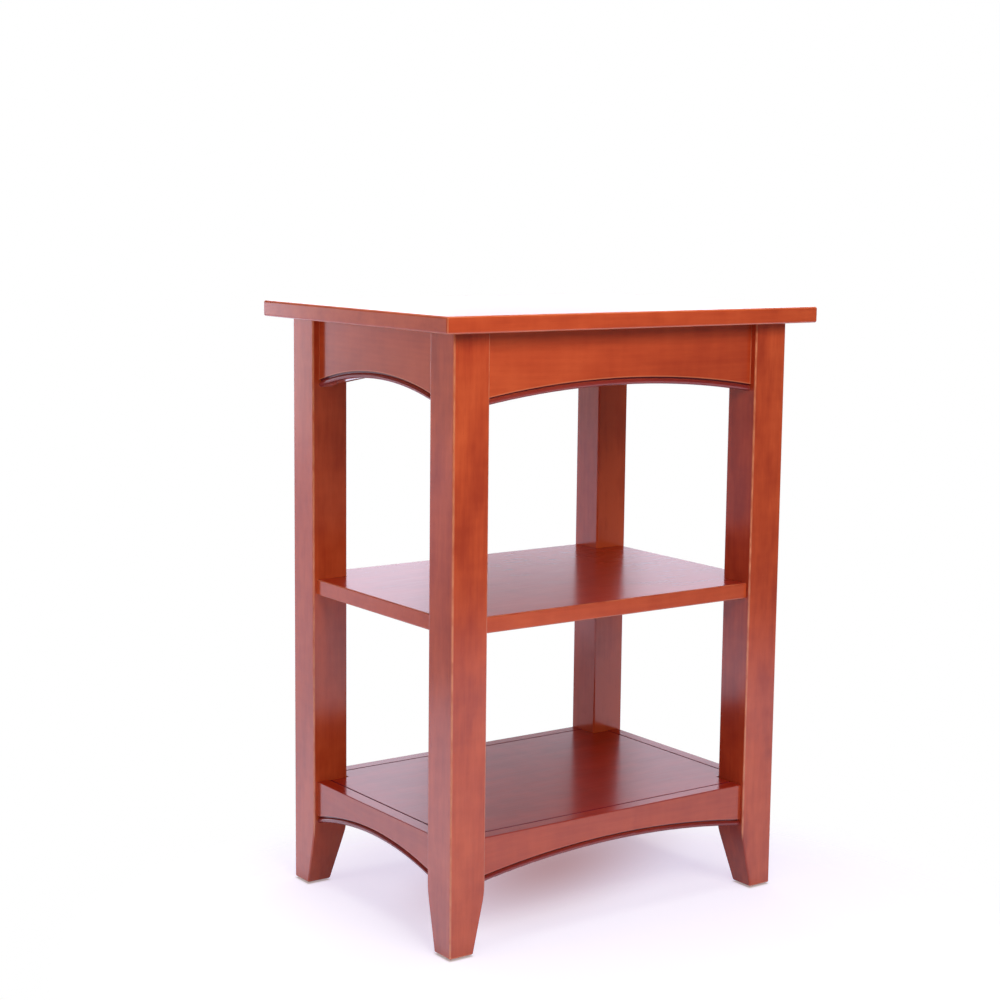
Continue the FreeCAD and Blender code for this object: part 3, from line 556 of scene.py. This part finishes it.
def shaded_and_worn_stain(graph, coords, colour, node, grain, sanded_and_lit_edge, face_shade):
    """Return a board's colour with painted shade on its upper face or a leg's inner faces, its edges worn
    and lightened by a painted highlight, and painted shade in its grooves and gap.
    """
    look = bpy.context.scene.end_table_wood
    kind = node.rpartition("_")[0]
    leg = node.startswith("leg")
    # Painted shade on the faces where less light falls: a board's upper face, or a leg's inner faces.
    shaded_face = inner_face_shade(graph, coords, node) if leg else upper_face_shade(graph, coords, node)
    colour = graph.mix(graph.math("MULTIPLY", shaded_face, face_shade), colour, solid(look.painted_shade_tint), "MULTIPLY")
    # Edges sanded thin and lightened by a painted highlight, in patches.
    sanded_and_lit = edge_band(graph, coords, node, look.edge_width * (LEG_EDGE if leg else 1.0))
    patchy = graph.span(graph.noise(coords, 60.0), 0.3, 0.6, FAINT_WEAR_AND_HIGHLIGHT, STRONG_WEAR_AND_HIGHLIGHT)
    sanded_and_lit = graph.math("MULTIPLY", sanded_and_lit, graph.math("MULTIPLY", patchy, sanded_and_lit_edge))
    colour = graph.mix(sanded_and_lit, colour, solid(look.stain_edge_and_highlight))
    # Painted shade in the quirk and on the bead, and a painted highlight on the edge above them.
    if kind in ARCH_RISE:
        groove_shade, ridge_highlight = arch_shade_and_highlight(graph, coords, node, kind, grain)
        colour = graph.mix(ridge_highlight, colour, solid(look.stain_edge_and_highlight))
        colour = graph.mix(groove_shade, colour, solid(look.groove_shade_colour))
    # Painted shade on the walls of the gap round the lower shelf's panel.
    if kind in ("lower_rail", "lower_shelf"):
        colour = graph.mix(shadow_gap(graph, coords), colour, solid(look.groove_shade_colour))
    return colour


def stained_wood(
    node, grain, seed, heart, sanded_and_lit_edge=1.0, cloudy=1.5, depth=0.0, face_shade=0.0, painted_falloff=0.0, dull=1.0
):
    """Make the lacquered cherry stain of one board, with its fibres along one axis.

    Heart is how far below the board its growth rings have their middle, sanded_and_lit_edge how far its
    edges are sanded and lightened by a painted highlight, cloudy how much the tone wanders, depth how dark
    the board came out, face_shade how much painted shade lies on its upper face or on a leg's inner faces,
    painted_falloff how much darker it gets along one metre of its fibres as a painted fall-off of light, and
    dull how much rougher its lacquer is.
    """
    look = bpy.context.scene.end_table_wood
    material, graph, shader = new_material(f"stain_{node}")
    coords = graph.coords()
    place = graph.parts(graph.mapping(coords, turn=GRAIN_TURN[grain]))
    shift = [step * seed for step in STAINED_SHIFT]
    board = graph.mapping(coords, place=shift, turn=GRAIN_TURN[grain])

    blotch = graph.fibres(board, along=15.0, across=38.0, detail=3.0, roughness=0.55)
    figure = graph.fibres(board, along=75.0, across=14.0)
    streak = graph.fibres(board, along=6.0, across=130.0, detail=3.0, roughness=0.6)
    fibre = graph.fibres(board, along=22.0, across=900.0)
    pore = graph.span(graph.fibres(board, along=90.0, across=1500.0, detail=1.0), 0.66, 0.78)
    ring = growth_rings(graph, board, place, seed, heart)

    patterns = (
        (blotch, cloudy),
        (streak, STREAK_SHARE * cloudy),
        (figure, FIGURE_SHARE),
        (fibre, FIBRE_SHARE * cloudy),
        (ring, RING_SHARE),
    )
    # Each pattern runs from 0 to 1, so half of its share is taken off to leave the board's own tone.
    halves = sum(share for _, share in patterns) / 2
    own_tone = 0.5 - halves - depth + TONE_SPREAD * math.sin(seed * TONE_PACE)
    # Painted fall-off of light: a board gets darker along its fibres, towards the right or the back.
    tone = graph.math("ADD", graph.total(*patterns, (place[0], -painted_falloff)), own_tone)
    colour = graph.ramp(tone, ((0.12, look.stain_dark), (0.5, look.stain_mid), (0.88, look.stain_light)))
    colour = graph.mix(graph.math("MULTIPLY", pore, PORE_SHARE), colour, solid(look.stain_dark))
    colour = shaded_and_worn_stain(graph, coords, colour, node, grain, sanded_and_lit_edge, face_shade)

    grainy = graph.total((fibre, 0.7), (pore, -0.8))
    graph.feed(shader.inputs["Base Color"], colour)
    graph.feed(shader.inputs["Roughness"], graph.span(fibre, 0.2, 0.8, 0.38, 0.52))
    graph.feed(shader.inputs["Normal"], graph.bump(grainy, 0.05, 0.0003))
    shader.inputs["Specular IOR Level"].default_value = 0.05
    shader.inputs["Coat Weight"].default_value = 1.0
    shader.inputs["Coat Roughness"].default_value = look.lacquer_roughness * dull
    shader.inputs["Coat IOR"].default_value = 1.6
    return material


def plain_wood(name, grain, seed, pale=(0.68, 0.47, 0.26), dark=(0.47, 0.29, 0.14)):
    """Make the pale, unfinished wood of the hidden pieces, with fibres along one axis."""
    material, graph, shader = new_material(name)
    shift = [step * seed for step in PLAIN_SHIFT]
    board = graph.mapping(graph.coords(), place=shift, turn=GRAIN_TURN[grain])
    streak = graph.fibres(board, along=9.0, across=170.0, detail=3.0, roughness=0.6, distortion=0.4)
    fibre = graph.fibres(board, along=60.0, across=1100.0)
    sawn = graph.fibres(board, along=420.0, across=25.0, detail=1.0)
    tone = graph.total((streak, 0.75), (fibre, 0.25))
    rough = graph.total((fibre, 0.7), (sawn, 0.3))
    graph.feed(shader.inputs["Base Color"], graph.ramp(tone, ((0.32, dark), (0.66, pale))))
    graph.feed(shader.inputs["Roughness"], graph.span(tone, 0.2, 0.8, 0.58, 0.78))
    graph.feed(shader.inputs["Normal"], graph.bump(rough, 0.25, 0.0004))
    return material


def plated_metal(name, colour, roughness):
    """Make plated steel with faint handling marks."""
    material, graph, shader = new_material(name)
    coords = graph.coords()
    cloud = graph.noise(coords, 180.0, 3.0)
    mark = graph.noise(graph.mapping(coords, scale=(900.0, 900.0, 90.0)), 1.0, 2.0)
    dull = [part * 0.75 for part in colour]
    graph.feed(shader.inputs["Base Color"], graph.ramp(cloud, ((0.35, dull), (0.65, colour))))
    graph.feed(shader.inputs["Roughness"], graph.span(mark, 0.3, 0.7, roughness - 0.07, roughness + 0.1))
    graph.feed(shader.inputs["Normal"], graph.bump(mark, 0.08, 0.0001))
    shader.inputs["Metallic"].default_value = 1.0
    return material


def moulded_plastic(name, colour):
    """Make the slightly mottled plastic of the glides."""
    material, graph, shader = new_material(name)
    coords = graph.coords()
    cloud = graph.noise(coords, 240.0, 3.0)
    dull = (colour[0] * 0.85, colour[1] * 0.84, colour[2] * 0.82)
    graph.feed(shader.inputs["Base Color"], graph.ramp(cloud, ((0.3, dull), (0.7, colour))))
    graph.feed(shader.inputs["Roughness"], graph.span(cloud, 0.3, 0.7, 0.38, 0.5))
    graph.feed(shader.inputs["Normal"], graph.bump(cloud, 0.1, 0.0001))
    return material


def dress(node, material):
    """Give a CAD node one material in all its slots."""
    for slot in NODES[node].material_slots:
        slot.material = material


class ENDTABLE_OT_boards(bpy.types.Operator):
    """Stain the top and the two shelves"""

    bl_idname = "end_table.boards"
    bl_label = "Top and shelves"

    def execute(self, context):
        finishes = {
            "table_top": {"depth": -0.04, "dull": 0.95},
            "middle_shelf": {"sanded_and_lit_edge": 0.6, "depth": -0.11, "face_shade": 1.0, "painted_falloff": 0.6, "dull": 1.1},
            "lower_shelf_panel": {"sanded_and_lit_edge": 0.0, "depth": 0.3, "face_shade": 1.0, "dull": 1.1},
        }
        for seed, (node, finish) in enumerate(finishes.items(), 1):
            dress(node, stained_wood(node, "x", seed, heart=0.35, cloudy=1.0, **finish))
        return {"FINISHED"}


class ENDTABLE_OT_legs(bpy.types.Operator):
    """Stain the four legs, with their fibres upright"""

    bl_idname = "end_table.legs"
    bl_label = "Legs"

    def execute(self, context):
        finishes = {
            "back_right": {"sanded_and_lit_edge": 0.1, "depth": -0.36},
            "back_left": {"depth": -0.14},
        }
        for seed, corner in enumerate(CORNERS, 11):
            node = f"leg_{corner}"
            finish = finishes.get(corner, {})
            dress(node, stained_wood(node, "z", seed, heart=0.08, face_shade=0.4, **finish))
        return {"FINISHED"}


class ENDTABLE_OT_rails(bpy.types.Operator):
    """Stain the arched aprons and lower rails, with their fibres along them"""

    bl_idname = "end_table.rails"
    bl_label = "Aprons and rails"

    def execute(self, context):
        finishes = {
            "apron": {"sanded_and_lit_edge": 0.6, "depth": 0.03, "painted_falloff": 1.3},
            "lower_rail": {"sanded_and_lit_edge": 0.1, "depth": 0.2},
        }
        for first_seed, (kind, finish) in zip((21, 31), finishes.items()):
            for seed, (side, grain) in enumerate(SIDES.items(), first_seed):
                node = f"{kind}_{side}"
                dress(node, stained_wood(node, grain, seed, heart=0.2, cloudy=0.8, face_shade=1.0, **finish))
        return {"FINISHED"}


class ENDTABLE_OT_inner_wood(bpy.types.Operator):
    """Finish the corner blocks, cleats and dowels"""

    bl_idname = "end_table.inner_wood"
    bl_label = "Blocks, cleats and dowels"

    def execute(self, context):
        for seed, corner in enumerate(CORNERS, 41):
            dress(f"upper_corner_block_{corner}", plain_wood(f"upper_block_wood_{corner}", "x", seed))
            dress(f"lower_corner_block_{corner}", plain_wood(f"lower_block_wood_{corner}", "x", seed + 4))
        for seed, (side, grain) in enumerate(SIDES.items(), 51):
            dress(f"panel_cleat_{side}", plain_wood(f"cleat_wood_{side}", grain, seed))
        dowel_wood = plain_wood("dowel_wood", "x", 61, (0.74, 0.57, 0.36), (0.56, 0.40, 0.22))
        for node in ("apron_dowels", "lower_rail_dowels", "shelf_dowels"):
            dress(node, dowel_wood)
        return {"FINISHED"}


def loose_solids(node):
    """Return the corner points of each separate solid of a CAD node."""
    shape = bmesh.new()
    shape.from_mesh(NODES[node].data)
    bmesh.ops.remove_doubles(shape, verts=shape.verts, dist=ONE_POINT)
    shape.verts.index_update()
    taken = set()
    solids = []
    for first in shape.verts:
        if first.index in taken:
            continue
        taken.add(first.index)
        waiting = [first]
        points = []
        while waiting:
            vert = waiting.pop()
            points.append(tuple(vert.co))
            for edge in vert.link_edges:
                other = edge.other_vert(vert)
                if other.index not in taken:
                    taken.add(other.index)
                    waiting.append(other)
        solids.append(numpy.array(points))
    shape.free()
    return solids


def fastener_seat(points, headed):
    """Return the seat of one turned fastener, from its outer end along Z, and its outline.

    The outer end is the head, or without a head the end that looks at the middle of the table. The outline
    is the distance from the axis and the depth below the outer end of every corner point.
    """
    spread, directions = numpy.linalg.eigh(numpy.cov(points.T))
    odd_one = 0 if spread[1] - spread[0] > spread[2] - spread[1] else 2
    axis = directions[:, odd_one]
    axis = numpy.round(axis / numpy.abs(axis).max())
    middle = (points.min(axis=0) + points.max(axis=0)) / 2
    away = numpy.linalg.norm(numpy.cross(points - middle, axis), axis=1)
    widest = points[away.argmax()] - middle
    outwards = widest @ axis if headed else -middle[:2] @ axis[:2]
    axis = Vector(axis if outwards > 0 else -axis).normalized()
    turn = axis.to_track_quat("Z", "Y").to_matrix()
    local = points @ numpy.array(turn)
    low, high = local.min(axis=0), local.max(axis=0)
    place = Vector(((low[0] + high[0]) / 2, (low[1] + high[1]) / 2, high[2]))
    reach = numpy.hypot(local[:, 0] - place.x, local[:, 1] - place.y)
    return turn.to_4x4() @ Matrix.Translation(place), reach, high[2] - local[:, 2]


def add_ring(shape, edges, height, reach):
    """Extrude a ring of edges to a height, with its distance from the axis given at each angle."""
    grown = bmesh.ops.extrude_edge_only(shape, edges=edges)["geom"]
    for vert in (item for item in grown if isinstance(item, bmesh.types.BMVert)):
        angle = math.atan2(vert.co.y, vert.co.x)
        away = reach(angle) if callable(reach) else reach
        vert.co = (away * math.cos(angle), away * math.sin(angle), height)
    return [item for item in grown if isinstance(item, bmesh.types.BMEdge)]


def pan_head_screw(shape, reach, depth):
    """Make a pan head screw with a cross recess, its head at the origin and its point below."""
    head = float(reach.max())
    head_height = float(depth[reach > head * 0.8].max())
    length = float(depth.max())
    shank = float(reach[depth > head_height * 1.2].max())
    flat = head * 0.7
    bmesh.ops.create_grid(shape, x_segments=5, y_segments=5, size=flat)
    rim = [edge for edge in shape.edges if edge.is_boundary]
    for vert in {vert for edge in rim for vert in edge.verts}:
        vert.co = vert.co.normalized() * flat
    arms = []
    for face in shape.faces:
        near, far = sorted(abs(value) for value in face.calc_center_median().xy)
        if near < flat * 0.1 and far < flat * 0.55:
            arms.append(face)
    sunk = bmesh.ops.extrude_face_region(shape, geom=arms)["geom"]
    for vert in (item for item in sunk if isinstance(item, bmesh.types.BMVert)):
        vert.co = (vert.co.x * 0.75, vert.co.y * 0.75, -head_height * 0.7)
    bmesh.ops.delete(shape, geom=[face for face in arms if face.is_valid], context="FACES")
    outline = (
        (-head_height * 0.10, head * 0.86),
        (-head_height * 0.38, head * 0.98),
        (-head_height * 0.62, head),
        (-head_height * 0.94, head),
        (-head_height, head * 0.96),
        (-head_height, shank),
        (-length * 0.78, shank),
        (-length, shank * 0.1),
    )
    for height, away in outline:
        rim = add_ring(shape, rim, height, away)
    bmesh.ops.contextual_create(shape, geom=rim)


def hex_nut(shape, reach, depth):
    """Make a chamfered hexagon nut with its outer face at the origin."""
    height = float(depth.max())
    corner = float(reach.max())
    half_side = math.pi / 6
    flat = corner * math.cos(half_side)
    face_rim = flat * 0.97
    bore = float(reach.min())
    mouth = bore * 1.14
    chamfer = height * 0.12

    def hexagon(angle):
        return flat / math.cos((angle + half_side) % (2 * half_side) - half_side)

    bmesh.ops.create_circle(shape, segments=24, radius=mouth)
    first = list(shape.edges)
    rim = first
    outline = (
        (0.0, face_rim),
        (-chamfer, hexagon),
        (chamfer - height, hexagon),
        (-height, face_rim),
        (-height, mouth),
        (chamfer - height, bore),
        (-chamfer, bore),
    )
    for level, away in outline:
        rim = add_ring(shape, rim, level, away)
    bmesh.ops.bridge_loops(shape, edges=first + rim)


def hanger_bolt(shape, reach, depth):
    """Make a bolt with a machine thread at its outer end and a point in the leg."""
    radius = float(reach.max())
    length = float(depth.max())
    core = radius * 0.86
    pitch = radius / 3
    threaded = length * 0.4
    outline = (
        (0.0, 0.0),
        (core * 0.8, 0.0),
        (core, -pitch * 0.7),
        (core, -threaded),
        (radius, -threaded - pitch),
        (radius, -length * 0.9),
        (0.0, -length),
    )
    profile = [shape.verts.new((away, 0.0, level)) for away, level in outline]
    edges = [shape.edges.new(pair) for pair in zip(profile, profile[1:])]
    upright = {"cent": (0.0, 0.0, 0.0), "axis": (0.0, 0.0, 1.0)}
    whole_turn = 2 * math.pi
    no_climb = (0.0, 0.0, 0.0)
    bmesh.ops.spin(
        shape, geom=profile + edges, dvec=no_climb, angle=whole_turn, steps=16, use_merge=True, **upright
    )
    bmesh.ops.remove_doubles(shape, verts=shape.verts, dist=ONE_POINT)
    core_faces = set(shape.faces)

    turns = int(threaded / pitch) - 2
    root = core * 0.98
    corners = ((root, -0.75), (radius, -1.2), (root, -1.65))
    tooth = [shape.verts.new((away, 0.0, level * pitch)) for away, level in corners]
    sides = [shape.edges.new((tooth[i], tooth[(i + 1) % 3])) for i in range(3)]
    turn_steps = 12
    climb = (0.0, 0.0, -pitch / turn_steps)
    bmesh.ops.spin(
        shape, geom=tooth + sides, dvec=climb, angle=whole_turn * turns, steps=turn_steps * turns, **upright
    )
    thread_faces = [face for face in shape.faces if face not in core_faces]
    ends = {edge for face in thread_faces for edge in face.edges if edge.is_boundary}
    bmesh.ops.holes_fill(shape, edges=list(ends), sides=3)


def fit_fasteners(node, material, make, headed):
    """Put a detailed fastener in the seat of each solid of a CAD node, as one piece."""
    seats = [fastener_seat(points, headed) for points in loose_solids(node)]
    shape = bmesh.new()
    _, reach, depth = seats[0]
    make(shape, reach, depth)
    bmesh.ops.recalc_face_normals(shape, faces=shape.faces)
    pattern = bpy.data.meshes.new(f"{node}_pattern")
    shape.to_mesh(pattern)
    shape.clear()
    for matrix, _, _ in seats:
        start = len(shape.verts)
        shape.from_mesh(pattern)
        shape.verts.ensure_lookup_table()
        bmesh.ops.transform(shape, matrix=matrix, verts=shape.verts[start:])
    for face in shape.faces:
        face.smooth = True
    mesh = bpy.data.meshes.new(f"{node}_detailed")
    shape.to_mesh(mesh)
    shape.free()
    bpy.data.meshes.remove(pattern)
    mesh.set_sharp_from_angle(angle=SHARP_ANGLE)
    mesh.materials.append(material)
    piece = bpy.data.objects.new(f"{node}_detailed", mesh)
    bpy.context.scene.collection.objects.link(piece)
    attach(piece, "root")
    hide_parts(node)


class ENDTABLE_OT_screws(bpy.types.Operator):
    """Make the cross-recessed screws under the top, in the corner blocks and in the cleats"""

    bl_idname = "end_table.screws"
    bl_label = "Screws"

    def execute(self, context):
        yellow = plated_metal("yellow_zinc_steel", (0.72, 0.56, 0.27), 0.28)
        for node in ("top_screws", "corner_block_screws", "cleat_screws"):
            fit_fasteners(node, yellow, pan_head_screw, headed=True)
        return {"FINISHED"}


class ENDTABLE_OT_leg_bolts(bpy.types.Operator):
    """Make the threaded bolts that draw the legs into the corners, with their nuts and washers"""

    bl_idname = "end_table.leg_bolts"
    bl_label = "Leg bolts"

    def execute(self, context):
        zinc = plated_metal("zinc_plated_steel", (0.62, 0.64, 0.66), 0.28)
        fit_fasteners("leg_hanger_bolts", zinc, hanger_bolt, headed=False)
        fit_fasteners("bolt_nuts", zinc, hex_nut, headed=False)
        for node in ("bolt_washers", "shelf_cam_posts"):
            dress(node, zinc)
        return {"FINISHED"}


class ENDTABLE_OT_fittings(bpy.types.Operator):
    """Finish the shelf's cams and the glides under the feet"""

    bl_idname = "end_table.fittings"
    bl_label = "Cams and glides"

    def execute(self, context):
        dress("shelf_cams", plated_metal("die_cast_zinc", (0.52, 0.53, 0.55), 0.42))
        glide = moulded_plastic("glide_plastic", (0.72, 0.71, 0.68))
        for corner in CORNERS:
            dress(f"foot_glide_{corner}", glide)
        return {"FINISHED"}


def distance(graph, coords, place=(0.0, 0.0, 0.0)):
    """Return how far each point is from a place."""
    offset = graph.vector("SUBTRACT", coords, place)
    return graph.add("ShaderNodeVectorMath", {0: offset}, operation="LENGTH").outputs["Value"]


def under_feet(graph, parts):
    """Return 0 on the floor below the feet, where a shadow is painted, and 1 away from them."""
    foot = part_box("leg_front_left")
    half = (foot[1].x - foot[0].x - FOOT_TAPER[0]) / 2
    across = graph.math("SUBTRACT", graph.math("ABSOLUTE", parts[0]), -foot[0].x - half)
    along = graph.math("SUBTRACT", graph.math("ABSOLUTE", parts[1]), -foot[0].y - half)
    away = graph.math("MAXIMUM", graph.math("ABSOLUTE", across), graph.math("ABSOLUTE", along))
    return graph.span(away, half - FOOT_BLUR, half + FOOT_BLUR)


def mirrored_floor(graph, parts, reach):
    """Return how light the floor's glow shows in the lacquer: below the table, in front of it and behind it,
    with painted shade below the table and close behind it.
    """
    around = graph.math("ARCTAN2", parts[0], parts[1])
    near_behind = graph.span(graph.total(*zip(parts, DARKER_WAY)), *DARKER_REACH, 1.0, 0.05)
    behind = graph.span(reach, *BACK_FLOOR, near_behind, graph.span(around, *BACK_SECTOR, 0.1, 1.0))
    in_front = graph.span(reach, *FRONT_FLOOR, 0.48, 0.72)
    outside = graph.span(parts[1], *FRONT_TO_BACK, in_front, behind)
    inside = graph.span(parts[1], *FRONT_EDGE, 0.5, 0.22)
    below = graph.span(parts[0], *LEFT_EDGE, 1.0, inside)
    return graph.span(reach, *BELOW_TABLE, below, outside)


def seen_floor(graph, coords, parts):
    """Return the floor's colour for the camera, with painted light on the left and painted shade under the
    table and its feet.
    """
    offset = graph.mapping(graph.vector("SUBTRACT", coords, SHADE_MIDDLE), turn=SHADE_TURN)
    from_shade = distance(graph, graph.vector("MULTIPLY", offset, SHADE_STRETCH))
    shaded = graph.span(from_shade, 0.0, SHADE_REACH, 1.0, 0.0, smooth=True)
    lighter = graph.span(graph.total(*zip(parts, LEFTWARDS)), *LEFT_REACH, smooth=True)
    colour = graph.mix(lighter, solid(FLOOR_PLAIN), solid(FLOOR_PAINTED_LIGHT))
    colour = graph.mix(shaded, colour, solid(FLOOR_PAINTED_SHADE))
    return graph.mix(under_feet(graph, parts), solid(FLOOR_FOOT_SHADOW), colour)


def floor_fade(graph, coords, camera):
    """Return 0 where the floor shows and 1 where it gives way to the white: far off, and from below."""
    seen = graph.span(distance(graph, coords, SEEN_MIDDLE), *SEEN_REACH, smooth=True)
    laid = graph.span(distance(graph, coords, LAID_MIDDLE), *LAID_REACH, smooth=True)
    from_below = graph.add("ShaderNodeNewGeometry").outputs["Backfacing"]
    fade = graph.math("MAXIMUM", graph.math("MULTIPLY", camera, seen), laid)
    return graph.math("MAXIMUM", fade, from_below)


def paper_floor(colour):
    """Make the paper of the floor, which shows one way to the camera and another way in the lacquer."""
    material, graph, surface = new_graph("studio_floor")
    path = graph.add("ShaderNodeLightPath")
    camera = path.outputs["Is Camera Ray"]
    coords = graph.coords()
    parts = graph.parts(coords)
    lamplit = graph.mix(camera, solid(colour), solid(FLOOR_LAMPLIT))
    paper = graph.add("ShaderNodeBsdfDiffuse", {"Color": lamplit})
    mirrored = mirrored_floor(graph, parts, distance(graph, coords))
    mirrored = graph.math("MULTIPLY", mirrored, path.outputs["Is Glossy Ray"])
    # A glow paints the floor's light and shade: for the camera the painted light and shade of seen_floor, in
    # the lacquer the zones of mirrored_floor.
    shown = graph.mix(camera, solid(FLOOR_MIRRORED), seen_floor(graph, coords, parts))
    level = graph.math("ADD", mirrored, camera)
    glow = graph.add("ShaderNodeEmission", {"Color": shown, "Strength": level})
    lit = graph.add("ShaderNodeAddShader", {0: paper.outputs[0], 1: glow.outputs[0]})
    clear = graph.add("ShaderNodeBsdfTransparent")
    fade = floor_fade(graph, coords, camera)
    whole = graph.add("ShaderNodeMixShader", {0: fade, 1: lit.outputs[0], 2: clear.outputs[0]})
    graph.feed(surface, whole.outputs[0])
    return material


def studio_floor(colour):
    """Lay the floor, which keeps the table's shadow and fades into the white behind."""
    mesh = bpy.data.meshes.new("studio_floor")
    shape = bmesh.new()
    just_below = Matrix.Translation((0.0, 0.0, -FLOOR_GAP))
    bmesh.ops.create_grid(shape, x_segments=8, y_segments=8, size=FLOOR_HALF, matrix=just_below)
    shape.to_mesh(mesh)
    shape.free()
    mesh.materials.append(paper_floor(colour))
    floor = bpy.data.objects.new("studio_floor", mesh)
    bpy.context.scene.collection.objects.link(floor)


def studio_world(ambient):
    """Set white surroundings for the camera and for reflections, and softer light for the rest."""
    world = bpy.data.worlds.new("studio")
    world.use_nodes = True
    bpy.context.scene.world = world
    graph = Graph(world.node_tree)
    path = graph.add("ShaderNodeLightPath")
    glossy = path.outputs["Is Glossy Ray"]
    seen = graph.math("MAXIMUM", path.outputs["Is Camera Ray"], path.outputs["Is Transmission Ray"])
    parts = graph.parts(graph.add("ShaderNodeTexCoord").outputs["Generated"])
    around = graph.span(graph.math("ARCTAN2", parts[0], parts[1]), -math.pi, math.pi)
    level = graph.ramp(around, [(turn / 360, [grey * HORIZON_LEVEL] * 3) for turn, grey in HORIZON])
    level = graph.math("MULTIPLY", level, graph.span(parts[2], *HORIZON_TOP, 1.0, HIGH_LEVEL))
    strength = graph.math("MAXIMUM", seen, graph.math("MULTIPLY", glossy, level))
    plain = graph.math("SUBTRACT", 1.0, graph.math("MAXIMUM", seen, glossy))
    strength = graph.math("ADD", strength, graph.math("MULTIPLY", plain, ambient))
    sky = graph.add("ShaderNodeBackground", {"Color": solid((1.0, 1.0, 1.0)), "Strength": strength})
    output = graph.add("ShaderNodeOutputWorld")
    graph.feed(output.inputs["Surface"], sky.outputs[0])


def soft_lamp(name, place, aim, width, height, power, colour):
    """Hang a soft lamp at a place and aim it at a point."""
    light = bpy.data.lights.new(name, "AREA")
    light.shape = "RECTANGLE"
    light.size = width
    light.size_y = height
    light.energy = power
    light.color = colour
    lamp = bpy.data.objects.new(name, light)
    lamp.location = place
    lamp.rotation_euler = (Vector(aim) - Vector(place)).to_track_quat("-Z", "Y").to_euler()
    lamp.visible_camera = False
    lamp.visible_glossy = name.endswith("_panel")
    bpy.context.scene.collection.objects.link(lamp)


def studio_camera(view):
    """Stand the camera where the photograph was taken."""
    camera = bpy.data.cameras.new("camera")
    camera.lens = view.lens
    camera.sensor_width = SENSOR_WIDTH
    camera.sensor_fit = "HORIZONTAL"
    eye = bpy.data.objects.new("camera", camera)
    turn = Matrix.Rotation(view.azimuth, 4, "Z")
    tilt = Matrix.Rotation(math.pi / 2 - view.pitch, 4, "X")
    lean = Matrix.Rotation(view.roll, 4, "Z")
    eye.matrix_world = Matrix.Translation(view.eye) @ turn @ tilt @ lean
    bpy.context.scene.collection.objects.link(eye)
    bpy.context.scene.camera = eye


class ENDTABLE_OT_stage(bpy.types.Operator):
    """Set up the floor, surroundings, lamps and camera"""

    bl_idname = "end_table.stage"
    bl_label = "Studio"

    def execute(self, context):
        scene = context.scene
        studio = scene.end_table_studio
        scene.view_settings.view_transform = "Standard"
        studio_floor(studio.floor_colour)
        studio_world(studio.ambient)
        for name, (place, aim, width, height, power, colour) in LAMPS.items():
            soft_lamp(name, place, aim, width, height, power * studio.lamp_level, colour)
        studio_camera(scene.end_table_view)
        return {"FINISHED"}


class ENDTABLE_PT_panel(bpy.types.Panel):
    """Lists the steps that dress the table"""

    bl_idname = "ENDTABLE_PT_panel"
    bl_label = "End Table"
    bl_space_type = "VIEW_3D"
    bl_region_type = "UI"
    bl_category = "End Table"

    def draw(self, context):
        layout = self.layout
        for operator in OPERATORS:
            layout.operator(operator.bl_idname)
        for name in GROUPS:
            group = getattr(context.scene, name)
            box = layout.box()
            for key in group.__annotations__:
                box.prop(group, key)


OPERATORS = (
    ENDTABLE_OT_boards,
    ENDTABLE_OT_legs,
    ENDTABLE_OT_rails,
    ENDTABLE_OT_inner_wood,
    ENDTABLE_OT_screws,
    ENDTABLE_OT_leg_bolts,
    ENDTABLE_OT_fittings,
    ENDTABLE_OT_stage,
)
GROUPS = {
    "end_table_wood": EndTableWood,
    "end_table_studio": EndTableStudio,
    "end_table_view": EndTableView,
}


def register():
    """Register the settings, steps and panel."""
    for name, group in GROUPS.items():
        bpy.utils.register_class(group)
        setattr(bpy.types.Scene, name, bpy.props.PointerProperty(type=group))
    for operator in OPERATORS:
        bpy.utils.register_class(operator)
    bpy.utils.register_class(ENDTABLE_PT_panel)


def unregister():
    """Take the panel, steps and settings away again."""
    bpy.utils.unregister_class(ENDTABLE_PT_panel)
    for operator in reversed(OPERATORS):
        bpy.utils.unregister_class(operator)
    for name, group in reversed(GROUPS.items()):
        delattr(bpy.types.Scene, name)
        bpy.utils.unregister_class(group)


def main():
    """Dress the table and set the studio."""
    register()
    bpy.ops.end_table.boards()
    bpy.ops.end_table.legs()
    bpy.ops.end_table.rails()
    bpy.ops.end_table.inner_wood()
    bpy.ops.end_table.screws()
    bpy.ops.end_table.leg_bolts()
    bpy.ops.end_table.fittings()
    bpy.ops.end_table.stage()


if __name__ == "__main__":
    main()
